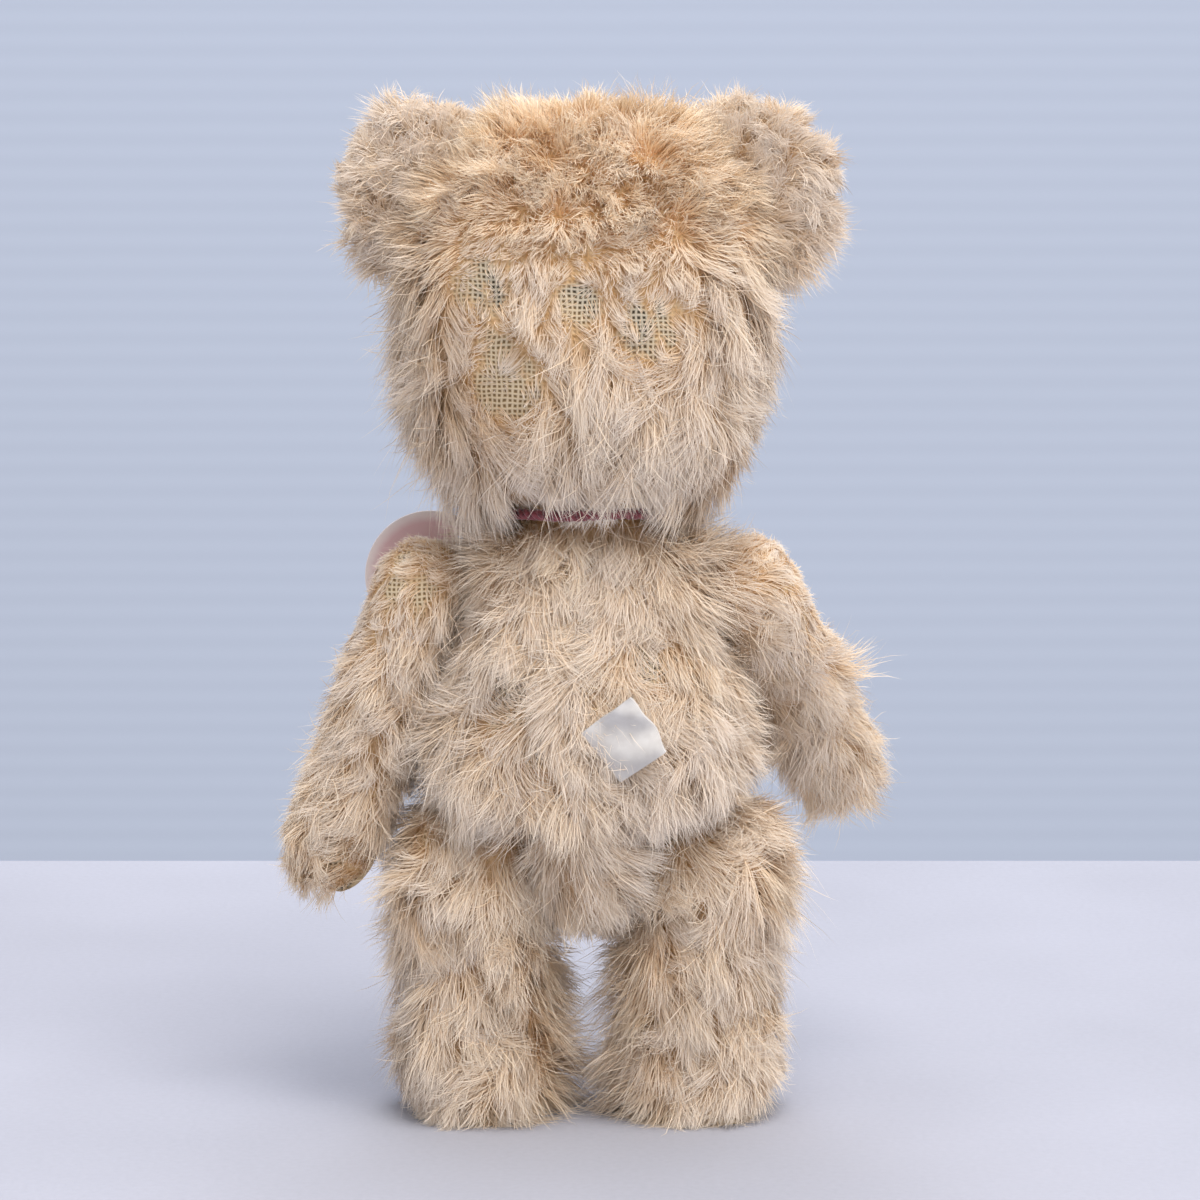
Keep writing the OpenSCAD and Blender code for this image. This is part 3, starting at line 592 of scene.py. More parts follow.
def grow(name, body, place, normal, style, seed, levels=4, parts=1):
    """Turns roots into tapered ribbons, one object for each part."""
    path, facing, tone, width = paths_of(place, normal, style, seed, levels)
    count = len(place)
    tangent = unit(np.gradient(path, axis=1))
    edge = unit(np.cross(tangent, facing[:, None, :]))
    taper = np.array([1.0, 1.0, 0.9, 0.65])[:levels]
    offset = edge[:, :levels] * (0.5 * width[:, None] * taper[None])[:, :, None]
    rings = np.stack([path[:, :levels] - offset, path[:, :levels] + offset], 2)
    points = np.concatenate([rings.reshape(count, 2 * levels, 3), path[:, levels:]], 1)
    per = 2 * levels + 1
    along = np.array([k // 2 for k in range(2 * levels)] + [levels]) / levels
    quads = np.array([[2 * k, 2 * k + 1, 2 * k + 3, 2 * k + 2] for k in range(levels - 1)])
    last = np.array([2 * levels - 2, 2 * levels - 1, 2 * levels])
    order = np.argsort(place[:, 1])
    for part, members in enumerate(np.array_split(order, parts)):
        n = len(members)
        base = (np.arange(n) * per)[:, None]
        loops = np.concatenate([base + quads.ravel()[None], base + last[None]], 1).ravel()
        sizes = np.tile([4] * (levels - 1) + [3], n)
        starts = np.concatenate([[0], np.cumsum(sizes)[:-1]])
        mesh = bpy.data.meshes.new(name)
        mesh.vertices.add(n * per)
        mesh.vertices.foreach_set("co", points[members].astype(np.float32).ravel())
        mesh.loops.add(len(loops))
        mesh.loops.foreach_set("vertex_index", loops.astype(np.int32))
        mesh.polygons.add(len(sizes))
        mesh.polygons.foreach_set("loop_start", starts.astype(np.int32))
        mesh.polygons.foreach_set("use_smooth", np.ones(len(sizes), bool))
        mesh.update(calc_edges=True)
        data = np.ones((n, per, 4), np.float32)
        data[:, :, 0] = tone[members][:, None]
        data[:, :, 1] = along[None]
        data[:, :, 2] = 0
        mesh.attributes.new("pile", "FLOAT_COLOR", "POINT").data.foreach_set("color", data.ravel())
        # a strand lies at its tone across the map, with its root low and its tip high
        across_map = 0.02 + 0.9 * data[:, :, 0]
        across_map[:, 1:2 * levels:2] += 0.03
        across_map[:, 2 * levels] += 0.015
        places = np.stack([across_map, 0.02 + 0.96 * data[:, :, 1]], 2).reshape(-1, 2)
        mesh.uv_layers.new(name="OFBake").data.foreach_set(
            "uv", places[loops].astype(np.float32).ravel())
        mesh.materials.append(mohair)
        piece = new_object(name if parts == 1 else f"{name}_{part + 1}", mesh)
        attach(piece, body)


def near_places(points, places, radius):
    """1 at a worn place, falling to 0 at its radius, over a list of (place, share) spots."""
    total = np.zeros(len(points))
    for spot, size in places:
        away = np.linalg.norm(points - np.array(spot), axis=1) / (size * radius)
        total = np.maximum(total, np.clip(1.5 - 1.5 * away ** 1.7, 0, 1))
    return total


def box_place(low, high, across, deep, up):
    """A place inside a box, from shares of its width, depth and height."""
    return [low[0] + across * (high[0] - low[0]), low[1] + deep * (high[1] - low[1]),
            low[2] + up * (high[2] - low[2])]


def pile_on(name, strands, seed, bare, comb, length, lift, tone, locks=0.015,
            cling=lambda p, n: 0.6, jumble=lambda p, n: 0.4, sparse=lambda p, n: 1.0,
            wave=0.34 * MM, levels=4, parts=1, keep_off=()):
    """Clothes one skin in pile. What is given as a function is asked about the roots.

    p and n are the places and normals of the roots. bare is 1 where the cloth is worn
    through, lift is the rise of a strand in radians, and tone runs from cream to honey.
    """

    def weight(place, normal, free):
        chance = 1 - 0.93 * np.clip(bare(place, normal), 0, 1.07)
        return chance * np.clip(free / (1.6 * MM), 0.0, 1.0) * sparse(place, normal)

    place, normal, free = scatter(name, int(strands * DENSITY), weight, seed)
    if keep_off:
        trees = [tree_of(nodes[n] if n in nodes else bpy.data.objects[n]) for n in keep_off]
        clear = np.array([min(t.find_nearest(p)[3] for t in trees) for p in place]) > 0.7 * MM
        place, normal, free = place[clear], normal[clear], free[clear]
    way = unit(comb(place, normal))
    long = length(place, normal)
    ahead = bare(place + way * (0.55 * long)[:, None], normal)
    long = long * (1 - 0.45 * bare(place, normal)) * (1 - 0.55 * np.clip(ahead, 0, 1))
    long = np.minimum(long, free * 1.25 + 1.6 * MM)
    style = {"length": long, "comb": way, "lift": lift(place, normal), "tone": tone(place, normal),
             "cling": cling(place, normal), "jumble": jumble(place, normal), "locks": locks,
             "wave": wave}
    grow(name + "_pile", body_name(name), place, normal, style, seed + 1, levels, parts)
    skin = skins[name]
    skin_normals = np.array([v.normal for v in skin.data.vertices])
    shown_bare = bare(coordinates(skin), skin_normals).astype(np.float32)
    skin.data.attributes.new("bare", "FLOAT", "POINT").data.foreach_set("value", shown_bare)


# ---------------------------------------------------------------- body pile
# The body cloth is combed down from the neck, parts along the closed back seam and sweeps
# out over the hips. It is thin below the shoulders where arms and hands have rubbed it.

torso_low = Vector(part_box("torso_panel_right")[0])
torso_high = Vector(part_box("torso_panel_left")[1])


def torso_bare(p, n):
    spots = [(box_place(torso_low, torso_high, 0.73, 0.93, 0.57), 1.1),
             (box_place(torso_low, torso_high, 0.30, 0.90, 0.66), 0.8),
             (box_place(torso_low, torso_high, 0.66, 0.95, 0.46), 0.6)]
    worn = 0.9 * near_places(p, spots, 6.0 * MM) * (0.8 + 0.35 * ripple(p, 2.5 * MM, 12, 1)[:, 0])
    patchy = 0.6 * np.clip(ripple(p, 7 * MM, 11, 1)[:, 0] - 0.8, 0, 1)
    return np.clip(worn + patchy, 0, 1)


def torso_comb(p, n):
    side = (p[:, 0] - middle_x) / (12 * MM)
    low = np.clip((68 * MM - p[:, 2]) / (20 * MM), 0, 1)
    spread = 0.6 * np.tanh(side) * (0.6 + low) - 0.45 * low
    down = np.stack([spread, 0 * side, -np.ones(len(p))], 1)
    outward = np.stack([np.sign(side), 0 * side, 0.9 + 0 * side], 1)
    flank = neck_flank(p)[:, None]
    return down * (1 - flank) + outward * flank + 0.75 * ripple(p, 9 * MM, 13)


def neck_flank(p):
    """1 beside the neck, where the pile stands out between head and shoulder."""
    beside = np.clip((np.abs(p[:, 0] - middle_x) - 8 * MM) / (5 * MM), 0, 1)
    return beside * np.clip((p[:, 2] - neck_cord_low.z + 11 * MM) / (5 * MM), 0, 1)


def torso_length(p, n):
    under = np.clip((torso_low.z + 9 * MM - p[:, 2]) / (6 * MM), 0, 1)
    hip = np.clip((p[:, 2] - torso_low.z - 9 * MM) / (5 * MM), 0, 1) \
        * np.clip((torso_low.z + 24 * MM - p[:, 2]) / (6 * MM), 0, 1) * np.clip(-n[:, 0] - 0.2, 0, 1)
    rough = ripple(p, 10 * MM, 14, 1)[:, 0]
    return (7.8 + 1.3 * rough - 4.8 * under + 3.0 * hip + 3.0 * neck_flank(p)) * MM


neck_cord_low = Vector(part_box("neck_cord")[0])

pile_on("torso", 62000, 20, torso_bare, torso_comb, torso_length,
        lift=lambda p, n: 0.42 + 0.18 * ripple(p, 7 * MM, 15, 1)[:, 0] + 0.75 * neck_flank(p),
        tone=lambda p, n: 0.2 + 0.22 * ripple(p, 12 * MM, 16, 1)[:, 0],
        sparse=lambda p, n: np.where(n[:, 1] < 0, 0.6, 1.0) * (p[:, 2] < neck_cord_low.z), parts=3)

# ---------------------------------------------------------------- arm and leg pile
# Arms and legs are combed along their length towards paws and feet. The paws are rubbed
# short and yellowed, and the pile of the feet turns in over the edge of the felt soles.


def patch_on(name, tree, centre, facing, upright, half_wide, half_tall, thick):
    """An oval piece of cloth laid on a skin: rings of points dropped on to it from outside."""
    facing = Vector(facing).normalized()
    across = Vector(upright).cross(facing).normalized()
    upright = facing.cross(across)
    rings, turns = 9, 48
    points, faces = [], []
    for r in range(rings + 2):
        share = min(r, rings) / rings
        rise = -0.4 * MM if r > rings else thick * (1 - 0.35 * share ** 8)
        for k in range(turns):
            a = 2 * math.pi * k / turns
            start = (centre + across * (half_wide * share * math.cos(a))
                     + upright * (half_tall * share * math.sin(a)) + facing * (20 * MM))
            hit, normal = tree.ray_cast(start, -facing)[:2]
            if hit is None:
                hit, normal = tree.find_nearest(start - facing * (20 * MM))[:2]
            points.append(hit + normal * rise)
    for r in range(rings + 1):
        for k in range(turns):
            a, b = r * turns + k, r * turns + (k + 1) % turns
            faces.append((a, b, b + turns, a + turns))
    mesh = bpy.data.meshes.new(name)
    mesh.from_pydata(points, [], faces)
    piece = new_object(name, mesh)
    select_only(piece)
    bpy.ops.object.mode_set(mode="EDIT")
    bpy.ops.mesh.select_all(action="SELECT")
    bpy.ops.mesh.remove_doubles(threshold=0.01 * MM)
    bpy.ops.object.mode_set(mode="OBJECT")
    normals_outward()
    bpy.ops.object.shade_smooth()
    return piece


# Wool felt: short matted fibres, no weave, a little darker where it is handled
felt, shader = new_material("matted wool felt", Roughness=0.95)
shader.inputs["Specular IOR Level"].default_value = 0.15
shader.inputs["Sheen Weight"].default_value = 0.4
fibres = mottle(felt, 2200.0, Detail=5.0, Roughness=0.7)
soiled = add_node(felt, "ShaderNodeMath", {"operation": "MULTIPLY_ADD"}, {
    0: mottle(felt, 160.0), 1: 0.8, 2: fibres})
colour_by(felt, shader, soiled.outputs[0], [(0.55, "B99A6E"), (1.0, "E2CBA2")])
relief_by(felt, shader, fibres, 0.6, 0.15 * MM)

for side in ("left", "right"):
    arm = side + "_arm"
    shoulder = Vector(next(j for j in frame["joints"] if j["child"] == arm)["pos_m"])
    pad_low, pad_high = (Vector(c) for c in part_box(arm + "_paw_pad"))
    paw = (pad_low + pad_high) / 2
    line = (paw - shoulder).normalized()
    outward = Vector((1.0 if side == "left" else -1.0, 0, 0))
    palm = (-0.75 * outward + Vector((0, -0.7, 0))).normalized()
    palm = (palm - line * palm.dot(line)).normalized()
    pad = patch_on(arm + "_felt_pad", skin_trees[arm], paw + line * 2 * MM, palm, line,
                   3.9 * MM, 6.2 * MM, 0.5 * MM)
    pad.data.materials.append(felt)
    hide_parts(arm + "_paw_pad")
    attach(pad, arm)
    seed = 40 if side == "left" else 60
    reach = (paw - shoulder).length
    # the rubbed places: the tip of the paw and the top of the shoulder
    tip = np.array(paw + line * 5.5 * MM)
    rubbed_top = np.array(shoulder + outward * 7 * MM + Vector((0, 6, 4)) * MM)
    shoulder, line, outward = np.array(shoulder), np.array(line), np.array(outward)

    def along_arm(p, shoulder=shoulder, line=line, reach=reach):
        return np.clip((p - shoulder) @ line / reach, -0.2, 1.2)

    rubbed_share = 0.75 if side == "left" else 0.0

    def arm_bare(p, n, seed=seed, tip=tip, top=rubbed_top, rubbed_share=rubbed_share):
        worn = 0.8 * near_places(p, [(tip, 1.0)], 6.5 * MM) \
            * (0.7 + 0.5 * ripple(p, 2.5 * MM, seed, 1)[:, 0])
        rubbed = rubbed_share * near_places(p, [(top, 1.0)], 7 * MM) \
            * (0.6 + 0.6 * ripple(p, 2.5 * MM, seed + 7, 1)[:, 0])
        patchy = 0.6 * np.clip(ripple(p, 6 * MM, seed + 1, 1)[:, 0] - 0.8, 0, 1)
        return np.clip(worn + rubbed + patchy, 0, 1)

    def arm_comb(p, n, line=line, seed=seed, outward=outward):
        return line + 0.3 * outward + 0.6 * ripple(p, 8 * MM, seed + 2)

    def shoulder_top(p, n, shoulder=shoulder, outward=outward):
        """1 on the outside of the shoulder, where the pile is short."""
        return np.clip((p[:, 2] - shoulder[2] + 9 * MM) / (8 * MM), 0, 1) \
            * np.clip(n @ outward + n[:, 2] + 0.2, 0, 1)

    def arm_length(p, n, fuller=0.0 if side == "left" else 1.6):
        long = 7.0 - (2.4 - fuller) * np.clip(along_arm(p), 0, 1) \
            + 0.7 * ripple(p, 6 * MM, seed + 6, 1)[:, 0]
        top = shoulder_top(p, n)
        return (long * (1 - top) + 2.2 * top) * MM

    pile_on(arm, 21500, seed + 3, arm_bare, arm_comb, arm_length,
            lift=lambda p, n: 0.42 + 0.12 * ripple(p, 7 * MM, seed + 4, 1)[:, 0],
            tone=lambda p, n: 0.18 + 0.5 * np.clip(along_arm(p) - 0.35, 0, 1)
            + 0.16 * ripple(p, 9 * MM, seed + 5, 1)[:, 0],
            keep_off=[pad.name])

for side in ("left", "right"):
    leg = side + "_leg"
    outward = np.array([1.0 if side == "left" else -1.0, 0, 0])
    seed = 80 if side == "left" else 100
    hip = np.array(next(j for j in frame["joints"] if j["child"] == leg)["pos_m"])
    sole_low, sole_high = (Vector(c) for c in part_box(leg + "_sole"))
    foot_middle = np.array((sole_low + sole_high) / 2)
    made_of(leg + "_sole", felt)

    def leg_bare(p, n, seed=seed):
        sole = (p[:, 2] < 1.8 * MM) & (n[:, 2] < -0.4)
        patchy = 0.6 * np.clip(ripple(p, 6 * MM, seed, 1)[:, 0] - 0.9, 0, 1)
        return np.where(sole, 1.08, patchy)

    def leg_comb(p, n, seed=seed, outward=outward, foot=foot_middle):
        low = np.clip((16 * MM - p[:, 2]) / (16 * MM), 0, 1)[:, None]
        out = unit((p - foot) * np.array([1, 1, 0]))
        return (np.array([0, 0, -1.0]) + 0.1 * outward - 0.35 * low * out
                + 0.65 * ripple(p, 8 * MM, seed + 1))

    def between(p, n, outward=outward, hip=hip):
        """1 on the side that faces the other leg, below the crotch."""
        return np.clip(-n @ outward, 0, 1) * np.clip((hip[2] - 4 * MM - p[:, 2]) / (8 * MM), 0, 1)

    def outside(p, n, outward=outward, hip=hip, fuller=0.4 if side == "left" else 1.0):
        """1 on the outside of the thigh, whose pile stands out most on the right."""
        thigh = np.clip((p[:, 2] - hip[2] + 16 * MM) / (14 * MM), 0, 1)
        return fuller * np.clip(n @ outward, 0, 1) * thigh

    pile_on(leg, 27500, seed + 2, leg_bare, leg_comb,
            length=lambda p, n: (6.9 + 0.9 * ripple(p, 8 * MM, seed + 3, 1)[:, 0]
                                 + 3.0 * between(p, n) + 2.6 * outside(p, n)
                                 - 3.2 * np.clip((15 * MM - p[:, 2]) / (12 * MM), 0, 1)
                                 * np.clip(n @ outward + 0.3, 0, 1)) * MM,
            lift=lambda p, n: 0.38 + 0.5 * between(p, n) + 0.35 * outside(p, n)
            + 0.12 * ripple(p, 7 * MM, seed + 4, 1)[:, 0],
            tone=lambda p, n: 0.22 + 0.18 * ripple(p, 12 * MM, seed + 5, 1)[:, 0])

# ---------------------------------------------------------------- head and ear pile
# The crown is worn to a short, dense, yellowed brush. Below it the pile grows long again
# and hangs in pointed locks over the neck cord. Both ears are rubbed bare at their rims.

head_low = Vector(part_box("head_panel_right")[0])
head_high = Vector(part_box("head_panel_left")[1])
head_middle = np.array((head_low + head_high) / 2)
head_tall = head_high.z - head_low.z
cord_low, cord_high = (Vector(c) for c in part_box("neck_cord"))


def head_up(p):
    return (p[:, 2] - head_low.z) / head_tall


def crown(p):
    return np.clip((head_up(p) + 0.05 * ripple(p, 12 * MM, 120, 1)[:, 0] - 0.62) / 0.14, 0, 1)


WORN_SPOTS = [(box_place(head_low, head_high, 0.77, 0.88, 0.585), 1.1),
              (box_place(head_low, head_high, 0.735, 0.93, 0.45), 0.75),
              (box_place(head_low, head_high, 0.72, 0.95, 0.345), 1.0),
              (box_place(head_low, head_high, 0.335, 0.92, 0.49), 1.1),
              (box_place(head_low, head_high, 0.53, 0.98, 0.55), 0.7)]


def head_bare(p, n):
    worn = near_places(p, WORN_SPOTS, 6.0 * MM) * (0.85 + 0.5 * ripple(p, 2.5 * MM, 121, 1)[:, 0])
    patchy = 0.6 * np.clip(ripple(p, 7 * MM, 122, 1)[:, 0] - 1.0, 0, 1)
    return np.clip(0.97 * worn + patchy * (1 - crown(p)), 0, 1)


def near_worn(p):
    """1 at the worn spots and in the band above them, where the pile is thin and short."""
    lowered = p - np.array([0, 0, 4.5 * MM])
    return np.maximum(near_places(lowered, WORN_SPOTS, 10 * MM), near_places(p, WORN_SPOTS, 8.5 * MM))


def head_comb(p, n):
    out = unit((p - head_middle) * np.array([1, 0.5, 0.2]))
    drop = np.clip((0.4 - head_up(p)) / 0.4, 0, 1)[:, None]
    falling = np.array([0, 0, -1.0]) + 0.35 * out * (1 - 2.6 * drop)
    upright = 0.5 * out + 0.7 * ripple(p, 3 * MM, 127)
    share = crown(p)[:, None]
    face = np.clip((-n[:, 1:2] - 0.2) / 0.5, 0, 1)
    from_nose = unit(p - np.array([middle_x, head_low.y, head_low.z + 0.3 * head_tall]))
    combed = falling * (1 - share) + upright * share
    return combed * (1 - face) + from_nose * face + 0.6 * ripple(p, 9 * MM, 123) * (1 - 0.7 * share)


def head_length(p, n):
    muzzle = np.clip((head_low.y + 17 * MM - p[:, 1]) / (9 * MM), 0, 1)
    rough = ripple(p, 9 * MM, 124, 1)[:, 0]
    top = np.clip(n[:, 2], 0, 1) * np.clip(np.abs(p[:, 0] - middle_x) / (12 * MM), 0.3, 1)
    long = 8.2 + 0.9 * rough
    # the pile is fullest on the left side of the head and was lain flat on the lower right
    side = np.clip(np.abs(n[:, 0]) - 0.3, 0, 1) * np.sign(n[:, 0])
    low = np.clip((0.5 - head_up(p)) / 0.3, 0, 1)
    long = long + 1.8 * np.clip(side, 0, 1) * (1 - low) - (1.2 + 4.5 * low) * np.clip(-side, 0, 1)
    long = long * (1 - crown(p)) + (4.2 + 4.6 * top) * crown(p)
    long = long * (1 - 0.7 * np.clip(near_worn(p), 0, 1)) * MM
    shown = 3.0 * MM * np.clip((p[:, 0] - middle_x) / (8 * MM), 0, 1)
    beside = 9 * MM * np.clip((np.abs(p[:, 0] - middle_x) - 12 * MM) / (4 * MM), 0, 1)
    over_cord = 1.2 * MM + beside + np.maximum(
        p[:, 2] - cord_high.z - 1.4 * MM - shown + 1.5 * MM * rough, 0)
    return np.minimum(long, over_cord) * (1 - muzzle) + 2.4 * MM * muzzle


pile_on("head", 80000, 130, head_bare, head_comb, head_length,
        lift=lambda p, n: 0.42 + 0.75 * crown(p) + 0.1 * ripple(p, 8 * MM, 125, 1)[:, 0],
        tone=lambda p, n: 0.15 + 0.6 * crown(p) + 0.1 * ripple(p, 12 * MM, 126, 1)[:, 0],
        jumble=lambda p, n: 0.4 - 0.2 * crown(p),
        sparse=lambda p, n: (np.where(n[:, 1] < -0.1, 0.5, 0.8) + 0.2 * crown(p))
        * (1 - 0.45 * np.clip(near_worn(p), 0, 1) * (1 - crown(p))), parts=3,
        cling=lambda p, n: 0.64 - 0.58 * crown(p),
        keep_off=["left_eye", "right_eye", "nose_embroidery", "mouth_stitches"])

for side in ("left", "right"):
    ear = side + "_ear"
    low, high = (Vector(c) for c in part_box(ear + "_back"))
    rim = (high.z - low.z) / 2
    outward = 1.0 if side == "left" else -1.0
    centre = np.array([(high.x if side == "left" else low.x) - outward * rim,
                       (low.y + high.y) / 2, (low.z + high.z) / 2])
    seed = 150 if side == "left" else 170

    def ear_bare(p, n, centre=centre, rim=rim, seed=seed):
        away = np.linalg.norm((p - centre)[:, [0, 2]], axis=1) / rim
        edge = np.clip((away - 0.86) / 0.14, 0, 1) * (0.45 + 0.7 * ripple(p, 5 * MM, seed, 1)[:, 0])
        return np.clip(0.85 * edge, 0, 1)

    def ear_comb(p, n, centre=centre, seed=seed, outward=outward):
        out = (p - centre - np.array([-outward * 9 * MM, 0, -6 * MM])) * np.array([1, 0, 1])
        return unit(out) + 0.6 * ripple(p, 6 * MM, seed + 1)

    pile_on(ear, 16500, seed + 2, ear_bare, ear_comb,
            length=lambda p, n, centre=centre, rim=rim: (
                4.6 + 0.8 * ripple(p, 6 * MM, seed + 3, 1)[:, 0]
                + 2.6 * np.clip((centre[2] - p[:, 2]) / rim, 0, 1)) * MM,
            lift=lambda p, n: 0.5 + 0.18 * ripple(p, 6 * MM, seed + 4, 1)[:, 0],
            tone=lambda p, n: 0.04 + 0.16 * ripple(p, 8 * MM, seed + 5, 1)[:, 0],
            levels=3, wave=0.25 * MM, locks=0.02)

# ---------------------------------------------------------------- eyes, nose and mouth
# The eyes are glossy black glass on wire shanks. The nose is a pad of straight satin
# stitches in brown-black cotton floss, and the mouth is three long stitches.


def tube(name, paths, radius, material, closed=False, sides=3):
    """Round threads along lists of points, as one mesh with capped ends."""
    curve = bpy.data.curves.new(name, "CURVE")
    curve.dimensions = "3D"
    curve.bevel_depth = radius
    curve.bevel_resolution = sides - 1
    curve.use_fill_caps = not closed
    for points in paths:
        spline = curve.splines.new("POLY")
        spline.points.add(len(points) - 1)
        spline.points.foreach_set("co", np.hstack([points, np.ones((len(points), 1))]).ravel())
        spline.use_cyclic_u = closed
    select_only(new_object(name, curve))
    bpy.ops.object.convert(target="MESH")
    made = bpy.context.object
    made.data.materials.clear()
    made.data.materials.append(material)
    for face in made.data.polygons:
        face.use_smooth = True
    return made


# Black glass, fire-polished
eye_glass, shader = new_material("fire-polished black glass", Roughness=0.06, Coat_Weight=1.0)
shader.inputs["Coat Roughness"].default_value = 0.03
colour_by(eye_glass, shader, mottle(eye_glass, 400.0), [(0.3, "0C0807"), (0.8, "1D130D")])

# Mercerised cotton floss: slightly shiny, fine filaments along the thread
floss, shader = new_material("mercerised cotton floss", Roughness=0.45)
shader.inputs["Sheen Weight"].default_value = 0.3
colour_by(floss, shader, mottle(floss, 1800.0), [(0.35, "281A13"), (0.7, "4A3428")])

for name, material in (("left_eye", eye_glass), ("right_eye", eye_glass), ("nose_embroidery", floss)):
    made_of(name, material)

nose_low, nose_high = (Vector(c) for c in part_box("nose_embroidery"))
nose_tree = tree_of(nodes["nose_embroidery"])
FLOSS_R = 0.24 * MM
stitches = []
count = int((nose_high.x - nose_low.x) / (1.7 * FLOSS_R))
for k in range(count):
    share = (k + 0.5) / count * 2 - 1
    x = (nose_low.x + nose_high.x) / 2 + share * (nose_high.x - nose_low.x) / 2
    middle = (nose_low.z + nose_high.z) / 2
    half = (nose_high.z - nose_low.z) / 2 * math.sqrt(max(0.0, 1 - abs(share) ** 2.6))
    line = []
    for t in np.linspace(-1, 1, 9):
        z = middle + half * (t * 1.04)
        hit = nose_tree.ray_cast(Vector((x, nose_low.y - 10 * MM, z)), Vector((0, 1, 0)))[0]
        if hit is None:
            hit = skin_trees["head"].ray_cast(
                Vector((x, nose_low.y - 10 * MM, z)), Vector((0, 1, 0)))[0]
        line.append([x, hit.y - FLOSS_R * 0.7 + abs(t) ** 6 * 0.3 * MM, z])
    stitches.append(np.array(line))
nose_floss = tube("nose_satin_stitches", stitches, FLOSS_R, floss)
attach(nose_floss, "head")

mouth_low, mouth_high = (Vector(c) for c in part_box("mouth_stitches"))
mouth_x = (mouth_low.x + mouth_high.x) / 2
fork_z = mouth_low.z + 0.5 * (mouth_high.z - mouth_low.z)
lines = []
for (x1, z1), (x2, z2) in (((mouth_x, mouth_high.z), (mouth_x, fork_z)),
                           ((mouth_x, fork_z), (mouth_low.x, mouth_low.z)),
                           ((mouth_x, fork_z), (mouth_high.x, mouth_low.z))):
    line = []
    for t in np.linspace(0, 1, 9):
        x, z = x1 + t * (x2 - x1), z1 + t * (z2 - z1)
        hit = skin_trees["head"].ray_cast(Vector((x, head_low.y - 20 * MM, z)), Vector((0, 1, 0)))[0]
        line.append([x, hit.y - 0.9 * MM * math.sin(math.pi * min(max(t, 0.12), 0.9)) - 0.4 * MM, z])
    lines.append(np.array(line))
mouth = tube("mouth_floss", lines, 0.33 * MM, floss)
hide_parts("mouth_stitches")
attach(mouth, "head")

# ---------------------------------------------------------------- neck cord and bow
# A cord of three burgundy rayon plies, laid up by hand, is tied round the neck in the fur
# and ends in a bow under the chin. It lies a little higher at the nape than at the throat.

cord_yarn, shader = new_material("three-ply burgundy rayon cord", Roughness=0.5)
shader.inputs["Sheen Weight"].default_value = 0.5
yarn = mottle(cord_yarn, 1600.0, Detail=3.0)
colour_by(cord_yarn, shader, yarn, [(0.3, "5A1F28"), (0.55, "83343F"), (0.8, "A4525B")])
relief_by(cord_yarn, shader, yarn, 0.5, 0.1 * MM)

LAY = 3.4 * MM                      # length of one full turn of the plies
cord_r = (cord_high.z - cord_low.z) / 2
ring_r = (cord_high.x - cord_low.x) / 2 - cord_r
ring_middle = (cord_low + cord_high) / 2


def plies(points, radius, closed=False):
    """Three helical plies round a line of points."""
    points = np.array(points, float)
    if closed:
        ahead, behind = np.roll(points, -1, 0), np.roll(points, 1, 0)
    else:
        ahead = np.vstack([points[1:], 2 * points[-1:] - points[-2:-1]])
        behind = np.vstack([2 * points[:1] - points[1:2], points[:-1]])
    tangent = unit(ahead - behind)
    first = unit(np.cross(tangent, np.array([0.11, 0.23, 1.0])))
    second = np.cross(tangent, first)
    run = np.concatenate([[0], np.cumsum(np.linalg.norm(np.diff(points, axis=0), axis=1))])
    whole = run[-1] + (np.linalg.norm(points[0] - points[-1]) if closed else 0)
    turns = round(whole / LAY) if closed else whole / LAY
    made = []
    for k in range(3):
        angle = 2 * math.pi * (turns * run / whole + k / 3)
        out = first * np.cos(angle)[:, None] + second * np.sin(angle)[:, None]
        made.append(points + 0.5 * radius * out)
    return made


around = np.linspace(0, 2 * math.pi, 241)[:-1]
ring = np.stack([ring_middle.x + ring_r * np.cos(around), ring_middle.y + ring_r * np.sin(around),
                 ring_middle.z + MM * (1.2 * np.sin(around) + 0.15 * np.sin(3 * around + 1)
                                       + 0.08 * np.sin(8 * around))], 1)
neck_ring = tube("neck_cord_plies", plies(ring, cord_r, True), 0.52 * cord_r, cord_yarn, True)
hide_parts("neck_cord")
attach(neck_ring, "torso")

bow_low, bow_high = (Vector(c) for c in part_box("cord_bow"))
knot = np.array([ring_middle.x, ring_middle.y - ring_r - 0.6 * MM, ring_middle.z - 1.4 * MM])
bow_wide = (bow_high.x - bow_low.x) / 2 - cord_r
bow_deep = knot[2] - bow_low.z - cord_r
t = np.linspace(0, 1, 40)
bow_lines = []
for way in (-1, 1):
    loop = np.stack([way * bow_wide * np.sin(math.pi * t) ** 0.8,
                     -MM * (0.4 + 1.6 * np.sin(math.pi * t)),
                     MM * (3.1 * np.sin(2 * math.pi * t) - 2.2 * np.sin(math.pi * t) ** 2)], 1)
    bow_lines += plies(knot + loop, cord_r * 0.9)
    tail = np.stack([way * MM * (1 + 4.5 * t + 0.9 * np.sin(5 * t)),
                     -MM * (0.8 + 2.8 * t - 0.6 * np.sin(4 * t + way)), -MM - bow_deep * 0.93 * t], 1)
    bow_lines += plies(knot + tail, cord_r * 0.9)
for shift in (-0.9, 0.0, 0.9):
    a = np.linspace(0, 2 * math.pi, 30)
    wrap = np.stack([np.full_like(a, shift * MM), 1.35 * MM * np.cos(a), 1.5 * MM * np.sin(a)], 1)
    bow_lines += plies(knot + wrap, cord_r * 0.8)
bow = tube("cord_bow_plies", bow_lines, 0.48 * cord_r, cord_yarn)
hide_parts("cord_bow")
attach(bow, "torso")

